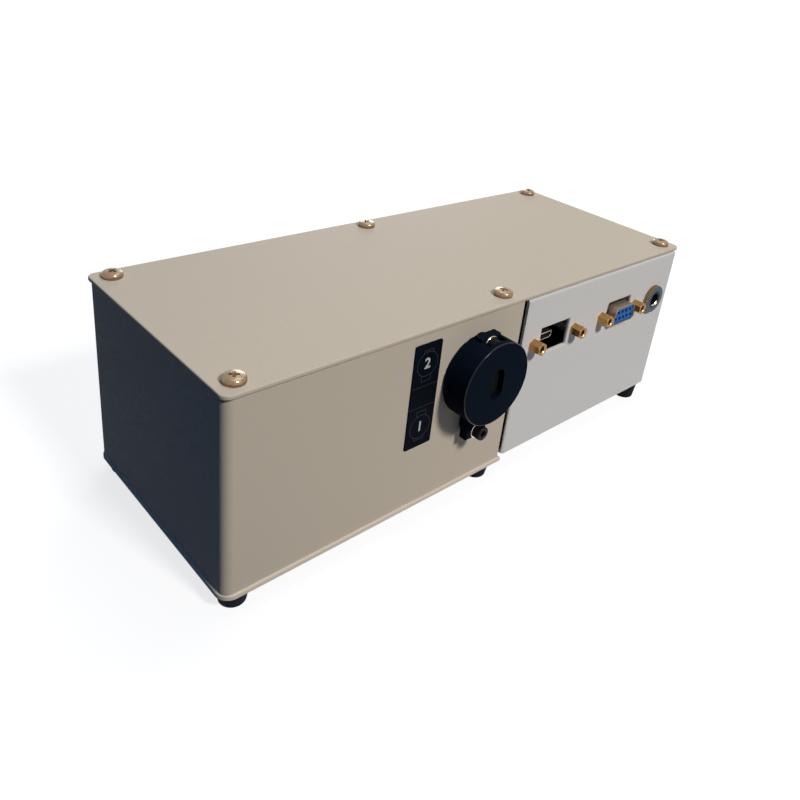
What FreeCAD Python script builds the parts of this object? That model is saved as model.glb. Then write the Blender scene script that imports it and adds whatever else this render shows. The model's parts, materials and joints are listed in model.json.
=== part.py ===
import FreeCAD, Part
import math
import os

import Sketcher

# Miniature spectrometer: a bent-sheet instrument case with a sliding entrance slit on its front.
# Local frame of the case: X along its length, -Y towards the front, Z up from the base plate's underside.
# The finished part stands on its feet at Z = 0, centred on its own bounding box in X and Y.

doc = FreeCAD.newDocument("MiniatureSpectrometer")
sheet = doc.addObject("Spreadsheet::Sheet", "Sizes")

# Driving dimensions, in millimetres
DRIVING = {
    # case
    "lid_length": 232.0,
    "lid_width": 91.2,
    "lid_thickness": 1.6,
    "lid_corner": 3.0,
    "lid_edge": 0.5,
    "lid_overhang": 0.7,
    "body_height": 74.0,
    "base_thickness": 2.2,
    "base_corner": 5.0,
    "base_edge": 0.6,
    "sheet_gauge": 1.2,
    "housing_bend": 3.2,
    "case_bend": 2.2,
    "case_corner": 0.6,
    "seam_position": 8.4,
    "seam_gap": 2.6,
    "base_lap": 0.8,
    "flange_width": 12.0,
    "return_width": 8.0,
    "seam_edge": 0.5,
    # posts, lid screws and feet
    "post_end_inset": 6.8,
    "post_seam_inset": 7.1,
    "post_side_inset": 6.1,
    "nut_diameter": 6.2,
    "nut_height": 3.0,
    "screw_shank": 4.0,
    "lid_screw_length": 6.5,
    "foot_screw_length": 9.0,
    "screw_head": 7.2,
    "screw_head_height": 2.3,
    "screw_dome": 1.5,
    "recess_span": 4.0,
    "recess_width": 1.0,
    "recess_depth": 1.2,
    "hole_clearance": 0.1,
    "foot_height": 5.5,
    "foot_top": 11.0,
    "foot_bottom": 9.2,
    "foot_recess": 3.0,
    "foot_edge": 0.9,
    # floor tongue, divider and their small screws
    "tongue_reach": 20.0,
    "tongue_width": 56.0,
    "tongue_screw_pitch": 44.0,
    "small_shank": 3.0,
    "small_head": 5.4,
    "small_head_height": 1.8,
    "divider_gauge": 1.0,
    "divider_side_gap": 1.7,
    "divider_top_gap": 1.8,
    "divider_foot": 11.0,
    "divider_notch": 16.0,
    "divider_screw_pitch": 60.0,
    # label
    "label_offset": 25.3,
    "label_centre": 48.1,
    "label_width": 12.2,
    "label_height": 41.2,
    "label_gauge": 0.5,
    "label_corner": 0.8,
    # slide rail and slit head
    "slit_inset": 23.2,
    "optical_height": 45.3,
    "slit_pitch": 8.8,
    "rail_width": 10.0,
    "rail_depth": 5.3,
    "rail_length": 42.0,
    "rail_foot_width": 8.0,
    "rail_foot_depth": 1.8,
    "rail_foot_length": 40.4,
    "rail_screw_inset": 3.1,
    "rail_aperture": 6.0,
    "rail_edge": 0.4,
    "wall_aperture": 8.0,
    "cap_shank": 3.0,
    "cap_head": 5.5,
    "cap_head_height": 3.0,
    "cap_length": 9.5,
    "cap_hex": 2.5,
    "cap_hex_depth": 1.5,
    "washer_diameter": 6.4,
    "washer_gauge": 0.5,
    "backing_width": 12.0,
    "backing_gauge": 4.0,
    "head_diameter": 32.4,
    "head_depth": 11.2,
    "head_standoff": 0.3,
    "head_face": 2.2,
    "head_edge": 0.5,
    "slide_clearance": 0.1,
    "screw_channel": 9.4,
    "relief_width": 15.0,
    "relief_depth": 1.0,
    "window_width": 6.2,
    "window_height": 12.4,
    "slit_plate_width": 9.0,
    "slit_plate_height": 17.0,
    "slit_plate_gauge": 0.3,
    "slit_height": 3.4,
    "narrow_slit": 0.1,
    "wide_slit": 0.2,
    "retainer_gauge": 0.8,
    "retainer_screw_x": 3.5,
    "retainer_screw_z": 7.4,
    "tiny_shank": 1.0,
    "tiny_head": 1.7,
    "tiny_head_height": 0.7,
    "tiny_length": 2.4,
    "plunger_depth": 3.55,
    "plunger_bore": 3.0,
    "ball_diameter": 2.0,
    "ball_reach": 0.35,
    "track_depth": 0.45,
    "track_width": 1.6,
    "detent_depth": 0.7,
    "spring_length": 3.0,
    "spring_wire": 0.3,
    "spring_coils": 5.0,
    "grub_length": 5.0,
    "grub_hex": 1.5,
    "grub_hex_depth": 1.6,
    # connectors on the front of the connector case
    "connector_height": 50.9,
    "standoff_flats": 4.8,
    "standoff_length": 4.8,
    "standoff_bore": 2.84,
    "standoff_bore_depth": 4.0,
    "standoff_stud": 2.8,
    "stud_clearance": 0.2,
    "usb_inset": 20.1,
    "usb_standoff_pitch": 26.0,
    "usb_window_width": 17.8,
    "usb_window_height": 11.6,
    "usb_recess": 4.1,
    "usb_width": 7.6,
    "usb_height": 3.0,
    "usb_depth": 5.2,
    "usb_wall": 0.3,
    "usb_lift": 1.4,
    "usb_corner": 0.9,
    "usb_board_width": 32.0,
    "usb_board_height": 14.0,
    "board_gauge": 1.6,
    "serial_inset": 39.5,
    "serial_standoff_pitch": 24.99,
    "serial_window_width": 20.4,
    "serial_window_height": 11.4,
    "serial_width": 16.33,
    "serial_height": 7.9,
    "serial_wall": 0.45,
    "serial_reach": 3.6,
    "serial_slope": 10.0,
    "serial_corner": 2.2,
    "serial_flange_width": 30.8,
    "serial_flange_height": 12.5,
    "serial_flange_gauge": 0.8,
    "serial_body_depth": 6.0,
    "serial_insert_setback": 0.5,
    "contact_pitch": 2.77,
    "contact_row_pitch": 2.84,
    "contact_bore": 1.1,
    "contact_diameter": 1.5,
    "serial_board_width": 33.0,
    "serial_board_height": 16.0,
    "jack_inset": 12.7,
    "jack_ring": 13.2,
    "jack_ring_reach": 2.0,
    "jack_knurls": 32.0,
    "jack_knurl_depth": 0.35,
    "jack_sleeve": 8.0,
    "jack_bore": 5.6,
    "jack_bore_depth": 9.0,
    "jack_length": 14.0,
    "jack_pin": 2.0,
    "jack_pin_setback": 1.5,
    "jack_nut": 11.0,
    "jack_nut_gauge": 2.4,
    # main board
    "main_board_gap": 0.4,
    "main_board_end_gap": 10.1,
    "main_board_width": 66.0,
    "main_board_lift": 8.0,
    "board_hole_inset": 4.0,
    "spacer_diameter": 5.5,
    "processor_width": 14.0,
    "chip_gauge": 1.4,
    # optics
    "bench_seam_inset": 11.9,
    "bench_side_gap": 0.7,
    "bench_gauge": 6.0,
    "bench_inset": 1.6,
    "bench_clearance": 0.5,
    "bench_screw_end_inset": 10.5,
    "bench_screw_side_inset": 4.5,
    "mirror_diameter": 24.0,
    "mirror_gauge": 5.0,
    "grating_width": 22.0,
    "mount_width": 30.0,
    "grating_mount_width": 26.0,
    "mount_gauge": 9.0,
    "mount_seat": 3.0,
    "mount_foot": 20.0,
    "mount_foot_height": 7.0,
    "collimator_offset": 4.2,
    "collimator_wall_gap": 19.9,
    "grating_offset": 26.7,
    "grating_wall_gap": 22.9,
    "focus_inset": 20.5,
    "focus_wall_gap": 18.9,
    "detector_inset": 23.0,
    "detector_wall_gap": 11.9,
    "detector_length": 41.6,
    "detector_height": 9.6,
    "detector_gauge": 3.4,
    "detector_margin": 2.0,
    "baffle_gauge": 1.2,
    "baffle_offset": 10.2,
    "baffle_wall_gap": 2.9,
    "baffle_length": 16.0,
    "baffle_height": 54.0,
}
for row, (alias, value) in enumerate(DRIVING.items(), start=1):
    sheet.set(f"A{row}", alias)
    sheet.set(f"B{row}", str(value))
    sheet.setAlias(f"B{row}", alias)
doc.recompute()

# Places worked out from the driving dimensions, as expressions in the case's local frame
WALL = "(Sizes.lid_width / 2 - Sizes.lid_overhang)"
END = "(Sizes.lid_length / 2 - Sizes.lid_overhang)"
LID_UNDERSIDE = "(Sizes.body_height - Sizes.lid_thickness)"
FLOOR = "(Sizes.base_thickness + Sizes.sheet_gauge)"
CASE_LEFT = "(Sizes.seam_position + Sizes.seam_gap)"
FRONT_SHIFT = f"(({WALL} + Sizes.head_depth - Sizes.lid_width / 2) / 2)"
SHANK_BORE = "(Sizes.screw_shank / 2 + Sizes.hole_clearance)"
SMALL_BORE = "(Sizes.small_shank / 2 + Sizes.hole_clearance)"
CAP_BORE = "(Sizes.cap_shank / 2 + Sizes.hole_clearance)"
STUD_BORE = "(Sizes.standoff_stud / 2 + Sizes.stud_clearance)"
BENCH_LEFT = f"(-{END} + Sizes.sheet_gauge + Sizes.bench_inset)"
BENCH_RIGHT = "(Sizes.seam_position - Sizes.bench_seam_inset)"
BENCH_CENTRE = f"(({BENCH_LEFT} + {BENCH_RIGHT}) / 2)"
BENCH_LENGTH = f"({BENCH_RIGHT} - {BENCH_LEFT})"
BENCH_SIDE = f"({WALL} - Sizes.sheet_gauge - Sizes.bench_side_gap)"
BENCH_TOP = f"({FLOOR} + Sizes.bench_gauge)"
RAIL_SCREW = "(Sizes.rail_length / 2 - Sizes.rail_screw_inset)"
HEAD_RADIUS = "(Sizes.head_diameter / 2)"
HEAD_HEIGHT = "(Sizes.optical_height + Sizes.slit_pitch / 2)"
SLIT_X = "(Sizes.seam_position - Sizes.slit_inset)"
USB_X = f"({CASE_LEFT} + Sizes.usb_inset)"
SERIAL_X = f"({END} - Sizes.serial_inset)"
JACK_X = f"({END} - Sizes.jack_inset)"
DIVIDER_X = f"({CASE_LEFT} + Sizes.sheet_gauge)"
DIVIDER_SIDE = f"({WALL} - Sizes.sheet_gauge - Sizes.divider_side_gap)"
DIVIDER_HEIGHT = f"({LID_UNDERSIDE} - Sizes.sheet_gauge - {FLOOR} - Sizes.divider_top_gap)"
BOARD_LEFT = f"({DIVIDER_X} + Sizes.divider_foot + Sizes.main_board_gap)"
BOARD_RIGHT = f"({END} - Sizes.sheet_gauge - Sizes.main_board_end_gap)"
BOARD_X = f"(({BOARD_LEFT} + {BOARD_RIGHT}) / 2)"
BOARD_LENGTH = f"({BOARD_RIGHT} - {BOARD_LEFT})"
BOARD_TOP = f"({FLOOR} + Sizes.main_board_lift + Sizes.board_gauge)"
POST_X = "(Sizes.lid_length / 2 - Sizes.post_end_inset)"
MIDDLE_POST_X = "(Sizes.seam_position - Sizes.post_seam_inset)"
POST_Y = "(Sizes.lid_width / 2 - Sizes.post_side_inset)"
OPTIC_PLACES = {
    "slit": (SLIT_X, f"-{WALL}"),
    "collimating_mirror": (f"({SLIT_X} - Sizes.collimator_offset)", f"({WALL} - Sizes.collimator_wall_gap)"),
    "diffraction_grating": (f"({SLIT_X} - Sizes.grating_offset)", f"(Sizes.grating_wall_gap - {WALL})"),
    "focusing_mirror": (f"({BENCH_LEFT} + Sizes.focus_inset)", f"({WALL} - Sizes.focus_wall_gap)"),
    "detector": (f"({BENCH_LEFT} + Sizes.detector_inset)", f"(Sizes.detector_wall_gap - {WALL})"),
}

LEFT_POSTS = [(x, f"{side}{POST_Y}") for x in (f"-{POST_X}", MIDDLE_POST_X) for side in ("-", "")]
RIGHT_POSTS = [(POST_X, f"{side}{POST_Y}") for side in ("-", "")]
POSTS = LEFT_POSTS + RIGHT_POSTS

TURN_TO_FRONT = FreeCAD.Rotation(FreeCAD.Vector(1, 0, 0), 90)
UPRIGHT = FreeCAD.Rotation()

nodes = []


def measure(expression):
    """Return the number that an expression on the sheet gives."""
    return float(sheet.evalExpression(expression))


def is_zero(expression):
    return expression == "0"


def pin_point(sketch, curve, point, x, y):
    """Hold one point of a curve at the place that two expressions give."""
    for kind, axis, expression in (("DistanceX", -2, x), ("DistanceY", -1, y)):
        if is_zero(expression):
            sketch.addConstraint(Sketcher.Constraint("PointOnObject", curve, point, axis))
            continue
        index = sketch.addConstraint(
            Sketcher.Constraint(kind, -1, 1, curve, point, measure(expression)))
        sketch.setExpression(f"Constraints[{index}]", expression)


def draw_polygon(sketch, points):
    """Draw a closed outline whose corners are pairs of expressions."""
    places = [FreeCAD.Vector(measure(x), measure(y), 0) for x, y in points]
    first = sketch.GeometryCount
    for index, start in enumerate(places):
        sketch.addGeometry(Part.LineSegment(start, places[(index + 1) % len(places)]), False)
    for index, (x, y) in enumerate(points):
        following = first + (index + 1) % len(points)
        sketch.addConstraint(Sketcher.Constraint("Coincident", first + index, 2, following, 1))
        pin_point(sketch, first + index, 1, x, y)


def draw_rectangle(sketch, left, right, bottom, top):
    draw_polygon(sketch, [(left, bottom), (right, bottom), (right, top), (left, top)])


def draw_centred(sketch, width, height):
    draw_rectangle(sketch, f"-({width}) / 2", f"({width}) / 2", f"-({height}) / 2", f"({height}) / 2")


def draw_circle(sketch, radius, x="0", y="0"):
    centre = FreeCAD.Vector(measure(x), measure(y), 0)
    curve = sketch.addGeometry(
        Part.Circle(centre, FreeCAD.Vector(0, 0, 1), measure(radius)), False)
    pin_point(sketch, curve, 3, x, y)
    index = sketch.addConstraint(Sketcher.Constraint("Radius", curve, measure(radius)))
    sketch.setExpression(f"Constraints[{index}]", radius)


def draw_stadium(sketch, width, height):
    """Draw an upright slot with round ends, centred on the sketch's origin."""
    radius = measure(width) / 2
    reach = (measure(height) - measure(width)) / 2
    up = FreeCAD.Vector(0, 0, 1)
    top_circle = Part.Circle(FreeCAD.Vector(0, reach, 0), up, radius)
    bottom_circle = Part.Circle(FreeCAD.Vector(0, -reach, 0), up, radius)
    top = sketch.addGeometry(Part.ArcOfCircle(top_circle, 0, math.pi), False)
    bottom = sketch.addGeometry(Part.ArcOfCircle(bottom_circle, math.pi, 2 * math.pi), False)
    left = sketch.addGeometry(Part.LineSegment(
        FreeCAD.Vector(-radius, reach, 0), FreeCAD.Vector(-radius, -reach, 0)), False)
    right = sketch.addGeometry(Part.LineSegment(
        FreeCAD.Vector(radius, -reach, 0), FreeCAD.Vector(radius, reach, 0)), False)
    for first, second in ((top, left), (left, bottom), (bottom, right), (right, top)):
        sketch.addConstraint(Sketcher.Constraint("Tangent", first, 2, second, 1))
    half_reach = f"(({height}) - ({width})) / 2"
    for arc, sign in ((top, ""), (bottom, "-")):
        pin_point(sketch, arc, 3, "0", f"{sign}{half_reach}")
        index = sketch.addConstraint(Sketcher.Constraint("Radius", arc, radius))
        sketch.setExpression(f"Constraints[{index}]", f"({width}) / 2")


def draw_hexagon(sketch, across_flats):
    """Draw a hexagon with two upright flats from its distance across the flats."""
    half = f"(({across_flats}) / 2)"
    side = f"({half} * tan(30))"
    tip = f"({half} / cos(30))"
    draw_polygon(sketch, [(half, f"-{side}"), (half, side), ("0", tip), (f"-{half}", side),
                          (f"-{half}", f"-{side}"), ("0", f"-{tip}")])


def new_body(label):
    body = doc.addObject("PartDesign::Body", label)
    body.Label = label
    return body


def sketch_on(body, plane, lift="0", across="0", along="0"):
    """Start a sketch on one of the body's own origin planes, lifted off it along its normal."""
    sketch = body.newObject("Sketcher::SketchObject", f"{body.Name}_sketch")
    support = next(item for item in body.Origin.OriginFeatures if item.Role == plane)
    sketch.AttachmentSupport = [(support, "")]
    sketch.MapMode = "FlatFace"
    for letter, expression in (("x", across), ("y", along), ("z", lift)):
        if not is_zero(expression):
            sketch.setExpression(f"AttachmentOffset.Base.{letter}", expression)
    return sketch


def pad(body, sketch, length, backwards=False):
    feature = body.newObject("PartDesign::Pad", f"{body.Name}_pad")
    feature.Profile = sketch
    feature.setExpression("Length", length)
    feature.Reversed = backwards
    doc.recompute()
    return feature


def check_cut(feature, volume):
    if not feature.Shape.Volume < volume - 1e-6:
        raise ValueError(f"{feature.Name} cuts nothing")


def pocket(body, sketch, length, backwards=False):
    """Cut a sketch into the body, against its normal unless backwards is set."""
    volume = body.Shape.Volume
    feature = body.newObject("PartDesign::Pocket", f"{body.Name}_pocket")
    feature.Profile = sketch
    feature.setExpression("Length", length)
    feature.Reversed = backwards
    doc.recompute()
    check_cut(feature, volume)
    return feature


def revolve(body, sketch):
    feature = body.newObject("PartDesign::Revolution", f"{body.Name}_turning")
    feature.Profile = sketch
    feature.ReferenceAxis = (sketch, ["V_Axis"])
    feature.Angle = 360
    doc.recompute()
    return feature


def round_edges(body, radius, chosen, kind="Fillet"):
    """Fillet or chamfer the edges of the body for which chosen(edge) holds."""
    base = body.Tip
    names = [f"Edge{index}" for index, edge in enumerate(base.Shape.Edges, start=1) if chosen(edge)]
    if not names:
        raise ValueError(f"{body.Name} has no such edge")
    feature = body.newObject(f"PartDesign::{kind}", f"{body.Name}_{kind.lower()}")
    feature.Base = (base, names)
    feature.setExpression("Radius" if kind == "Fillet" else "Size", radius)
    doc.recompute()
    return feature


def runs_along(edge, axis):
    """Tell if a straight edge runs along an axis, given as its index."""
    if edge.Degenerated or edge.Curve.TypeId != "Part::GeomLine":
        return False
    return abs(edge.Curve.Direction[axis]) > 0.999


def lies_at(edge, axis, value):
    """Tell if an edge lies wholly at one value of a coordinate, given as the axis's index."""
    if edge.Degenerated:
        return False
    box = edge.BoundBox
    low = (box.XMin, box.YMin, box.ZMin)[axis]
    high = (box.XMax, box.YMax, box.ZMax)[axis]
    return abs(low - value) < 1e-3 and abs(high - value) < 1e-3


def seat(item, x="0", y="0", z="0", rotation=UPRIGHT):
    """Place an object at a point of the case's local frame."""
    item.Placement = FreeCAD.Placement(FreeCAD.Vector(0, 0, 0), rotation)
    item.setExpression("Placement.Base.x", x)
    item.setExpression("Placement.Base.y", f"{FRONT_SHIFT} + ({y})")
    item.setExpression("Placement.Base.z", f"Sizes.foot_height + ({z})")
    return item


def finish(item, x="0", y="0", z="0", rotation=UPRIGHT):
    """Place an object and count it as a sub-part."""
    seat(item, x, y, z, rotation)
    nodes.append(item)
    return item


def finish_set(label, master, places, rotation=UPRIGHT):
    """Make one sub-part of equal pieces, each a copy of the master at its place."""
    copies = []
    for index, (x, y, z) in enumerate(places, start=1):
        copy = doc.addObject("App::Link", f"{label}_{index}")
        copy.LinkedObject = master
        seat(copy, x, y, z, rotation)
        copies.append(copy)
    group = doc.addObject("Part::Compound", label)
    group.Label = label
    group.Links = copies
    nodes.append(group)
    return group


def turned(label, profile):
    """Turn a body about its own Z axis from an outline of radius and height pairs."""
    body = new_body(label)
    sketch = sketch_on(body, "XZ_Plane")
    draw_polygon(sketch, profile)
    revolve(body, sketch)
    return body


def drill(body, plane, radius, places, depth, lift="0", backwards=False):
    """Cut round holes of one radius at several places of a plane."""
    sketch = sketch_on(body, plane, lift)
    for x, y in places:
        draw_circle(sketch, radius, x, y)
    return pocket(body, sketch, depth, backwards)


# Case


def make_base_plate():
    """Plate under the optical half, proud of the walls all round and rounded at its corners."""
    right = "(Sizes.seam_position + Sizes.base_lap)"
    body = new_body("base_plate")
    outline = sketch_on(body, "XY_Plane")
    draw_rectangle(outline, "-Sizes.lid_length / 2", right, "-Sizes.lid_width / 2", "Sizes.lid_width / 2")
    pad(body, outline, "Sizes.base_thickness")
    left = measure("-Sizes.lid_length / 2")
    round_edges(body, "Sizes.base_corner", lambda edge: runs_along(edge, 2) and lies_at(edge, 0, left))
    round_edges(body, "Sizes.base_edge",
                lambda edge: lies_at(edge, 2, 0.0) or lies_at(edge, 2, measure("Sizes.base_thickness")))
    drill(body, "XY_Plane", SMALL_BORE, LEFT_POSTS + bench_screw_places() + tongue_screw_places(),
          "Sizes.base_thickness", backwards=True)
    return finish(body)


def bench_screw_places():
    left = f"({BENCH_LEFT} + Sizes.bench_screw_end_inset)"
    right = f"({BENCH_RIGHT} - Sizes.bench_screw_end_inset)"
    side = f"({BENCH_SIDE} - Sizes.bench_screw_side_inset)"
    return [(x, y) for x in (left, right) for y in (f"-{side}", side)]


def tongue_screw_places():
    near = f"({CASE_LEFT} - Sizes.tongue_reach / 3)"
    return [(near, "-Sizes.tongue_screw_pitch / 2"), (near, "Sizes.tongue_screw_pitch / 2")]


def make_housing_shell():
    """U-shaped sheet round the optical half, with flanges turned in along every open edge."""
    height = f"({LID_UNDERSIDE} - Sizes.base_thickness)"
    body = new_body("housing_shell")
    outline = sketch_on(body, "XY_Plane")
    draw_rectangle(outline, f"-{END}", "Sizes.seam_position", f"-{WALL}", WALL)
    pad(body, outline, height)
    left = measure(f"-{END}")
    seam = measure("Sizes.seam_position")
    top = measure(height)
    round_edges(body, "Sizes.housing_bend", lambda edge: runs_along(edge, 2) and lies_at(edge, 0, left))
    round_edges(body, "Sizes.seam_edge", lambda edge: runs_along(edge, 2) and lies_at(edge, 0, seam))
    round_edges(body, "Sizes.seam_edge", lambda edge: lies_at(edge, 2, top))
    inner_left = f"(-{END} + Sizes.sheet_gauge)"
    inner_right = "(Sizes.seam_position - Sizes.sheet_gauge)"
    inner_wall = f"({WALL} - Sizes.sheet_gauge)"
    cavity = sketch_on(body, "XY_Plane", lift="Sizes.sheet_gauge")
    draw_rectangle(cavity, inner_left, inner_right, f"-{inner_wall}", inner_wall)
    pocket(body, cavity, f"{height} - 2 * Sizes.sheet_gauge", backwards=True)
    inside = measure(inner_left)
    round_edges(body, "Sizes.housing_bend - Sizes.sheet_gauge",
                lambda edge: runs_along(edge, 2) and lies_at(edge, 0, inside))
    window = sketch_on(body, "XY_Plane")
    draw_rectangle(window, f"-{END} + Sizes.flange_width", "Sizes.seam_position - Sizes.flange_width",
                   f"-{WALL} + Sizes.flange_width", f"{WALL} - Sizes.flange_width")
    pocket(body, window, height, backwards=True)
    doorway = sketch_on(body, "YZ_Plane", lift="Sizes.seam_position")
    draw_rectangle(doorway, f"-{WALL} + Sizes.return_width", f"{WALL} - Sizes.return_width",
                   "-Sizes.sheet_gauge", f"{height} + Sizes.sheet_gauge")
    pocket(body, doorway, "Sizes.flange_width + Sizes.sheet_gauge")
    drill(body, "XY_Plane", SHANK_BORE, LEFT_POSTS, "Sizes.sheet_gauge", lift=height)
    drill(body, "XY_Plane", SMALL_BORE, LEFT_POSTS + bench_screw_places(), "Sizes.sheet_gauge",
          backwards=True)
    low = "(Sizes.optical_height - Sizes.base_thickness)"
    drill(body, "XZ_Plane", "Sizes.wall_aperture / 2", [(SLIT_X, low)],
          "Sizes.sheet_gauge", lift=WALL)
    drill(body, "XZ_Plane", CAP_BORE,
          [(SLIT_X, f"{low} - {RAIL_SCREW}"), (SLIT_X, f"{low} + {RAIL_SCREW}")],
          "Sizes.sheet_gauge", lift=WALL)
    return finish(body, z="Sizes.base_thickness")


def serial_outline(width, height):
    """Corners of a D-shaped outline, wide side down."""
    lean = f"({height}) * tan(Sizes.serial_slope)"
    wide = f"(({width}) / 2)"
    narrow = f"({wide} - {lean})"
    low = f"-({height}) / 2"
    high = f"({height}) / 2"
    return [(f"-{wide}", low), (wide, low), (narrow, high), (f"-{narrow}", high)]


def make_connector_case():
    """Folded tray round the electronics half, with the connector cut-outs in its front."""
    height = f"({LID_UNDERSIDE} - Sizes.base_thickness)"
    body = new_body("connector_case")
    outline = sketch_on(body, "XY_Plane")
    draw_rectangle(outline, CASE_LEFT, END, f"-{WALL}", WALL)
    pad(body, outline, height)
    right = measure(END)
    top = measure(height)
    near = measure(CASE_LEFT)
    round_edges(body, "Sizes.case_bend", lambda edge: lies_at(edge, 2, top) and not lies_at(edge, 0, near))
    round_edges(body, "Sizes.case_corner", lambda edge: runs_along(edge, 2) and lies_at(edge, 0, right))
    inner_wall = f"({WALL} - Sizes.sheet_gauge)"
    cavity = sketch_on(body, "XY_Plane", lift="Sizes.sheet_gauge")
    draw_rectangle(cavity, f"{CASE_LEFT} + Sizes.sheet_gauge", f"{END} - Sizes.sheet_gauge",
                   f"-{inner_wall}", inner_wall)
    pocket(body, cavity, f"{height} - 2 * Sizes.sheet_gauge", backwards=True)
    inside = measure(f"{CASE_LEFT} + Sizes.sheet_gauge")
    ceiling = measure(f"{height} - Sizes.sheet_gauge")
    round_edges(body, "Sizes.case_bend - Sizes.sheet_gauge",
                lambda edge: lies_at(edge, 2, ceiling) and not lies_at(edge, 0, inside))
    window = sketch_on(body, "XY_Plane", lift="Sizes.sheet_gauge")
    draw_rectangle(window, f"{CASE_LEFT} + Sizes.flange_width", f"{END} - Sizes.flange_width",
                   f"-{WALL} + Sizes.flange_width", f"{WALL} - Sizes.flange_width")
    pocket(body, window, height, backwards=True)
    doorway = sketch_on(body, "YZ_Plane", lift=f"{CASE_LEFT} + Sizes.flange_width + Sizes.sheet_gauge")
    draw_rectangle(doorway, f"-{WALL} + Sizes.return_width", f"{WALL} - Sizes.return_width",
                   "Sizes.sheet_gauge", f"{height} + Sizes.sheet_gauge")
    pocket(body, doorway, "Sizes.flange_width + 2 * Sizes.sheet_gauge")
    mouth = sketch_on(body, "YZ_Plane", lift=f"{CASE_LEFT} + Sizes.sheet_gauge")
    draw_rectangle(mouth, f"-{inner_wall}", inner_wall, "Sizes.sheet_gauge", f"{height} - Sizes.sheet_gauge")
    pocket(body, mouth, "2 * Sizes.sheet_gauge")
    tongue = sketch_on(body, "XY_Plane")
    draw_rectangle(tongue, f"{CASE_LEFT} - Sizes.tongue_reach", f"{CASE_LEFT} + Sizes.flange_width",
                   "-Sizes.tongue_width / 2", "Sizes.tongue_width / 2")
    pad(body, tongue, "Sizes.sheet_gauge")
    drill(body, "XY_Plane", SHANK_BORE, RIGHT_POSTS, "Sizes.sheet_gauge", lift=height)
    drill(body, "XY_Plane", SMALL_BORE, RIGHT_POSTS + tongue_screw_places() + divider_screw_places(),
          "Sizes.sheet_gauge", backwards=True)
    row = "(Sizes.connector_height - Sizes.base_thickness)"
    usb_window = sketch_on(body, "XZ_Plane", WALL, USB_X, row)
    draw_centred(usb_window, "Sizes.usb_window_width", "Sizes.usb_window_height")
    pocket(body, usb_window, "Sizes.sheet_gauge")
    serial_window = sketch_on(body, "XZ_Plane", WALL, SERIAL_X, row)
    draw_polygon(serial_window, serial_outline("Sizes.serial_window_width", "Sizes.serial_window_height"))
    pocket(body, serial_window, "Sizes.sheet_gauge")
    drill(body, "XZ_Plane", STUD_BORE, [(x, row) for x in standoff_places()],
          "Sizes.sheet_gauge", lift=WALL)
    drill(body, "XZ_Plane", "Sizes.jack_sleeve / 2 + Sizes.hole_clearance", [(JACK_X, row)],
          "Sizes.sheet_gauge", lift=WALL)
    return finish(body, z="Sizes.base_thickness")


def usb_standoff_places():
    return [f"({USB_X} {sign} Sizes.usb_standoff_pitch / 2)" for sign in "-+"]


def serial_standoff_places():
    return [f"({SERIAL_X} {sign} Sizes.serial_standoff_pitch / 2)" for sign in "-+"]


def standoff_places():
    return usb_standoff_places() + serial_standoff_places()


def make_lid():
    """Flat lid over both halves, with softened edges and six screw holes."""
    body = new_body("lid")
    outline = sketch_on(body, "XY_Plane")
    draw_centred(outline, "Sizes.lid_length", "Sizes.lid_width")
    pad(body, outline, "Sizes.lid_thickness")
    top = measure("Sizes.lid_thickness")
    round_edges(body, "Sizes.lid_corner", lambda edge: runs_along(edge, 2))
    round_edges(body, "Sizes.lid_edge", lambda edge: lies_at(edge, 2, top) or lies_at(edge, 2, 0.0))
    drill(body, "XY_Plane", SHANK_BORE, POSTS, "Sizes.lid_thickness", backwards=True)
    return finish(body, z=LID_UNDERSIDE)


def draw_cross(sketch, span, width):
    """Draw the outline of a cross recess."""
    far = f"(({span}) / 2)"
    near = f"(({width}) / 2)"
    points = [(far, f"-{near}"), (far, near), (near, near), (near, far), (f"-{near}", far),
              (f"-{near}", near), (f"-{far}", near), (f"-{far}", f"-{near}"), (f"-{near}", f"-{near}"),
              (f"-{near}", f"-{far}"), (near, f"-{far}"), (near, f"-{near}")]
    draw_polygon(sketch, points)


def pan_screw(label, shank, length, head, head_height, dome=None, recess=None):
    """Screw with its head above Z = 0 and its shank below."""
    core = f"({shank}) / 2"
    rim = f"({head}) / 2"
    body = turned(label, [("0", f"-({length})"), (core, f"-({length})"), (core, "0"), (rim, "0"),
                          (rim, head_height), ("0", head_height)])
    if dome is not None:
        top = measure(head_height)
        round_edges(body, dome, lambda edge: lies_at(edge, 2, top))
    if recess is not None:
        span, width, depth = recess
        cross = sketch_on(body, "XY_Plane", lift=head_height)
        draw_cross(cross, span, width)
        pocket(body, cross, depth)
    return body


def make_foot(label, top):
    """Tapered rubber foot up to a height, with a recess for its screw's head."""
    ceiling = "(Sizes.foot_recess - Sizes.foot_height)"
    recess = "(Sizes.small_head / 2 + Sizes.hole_clearance)"
    foot = turned(label, [
        (SMALL_BORE, top), (SMALL_BORE, ceiling), (recess, ceiling), (recess, "-Sizes.foot_height"),
        ("Sizes.foot_bottom / 2", "-Sizes.foot_height"), ("Sizes.foot_top / 2", top)])
    bottom = measure("-Sizes.foot_height")
    wide = measure(recess) + 0.1
    round_edges(foot, "Sizes.foot_edge",
                lambda edge: lies_at(edge, 2, bottom) and edge.BoundBox.XMax > wide)
    return foot


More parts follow.
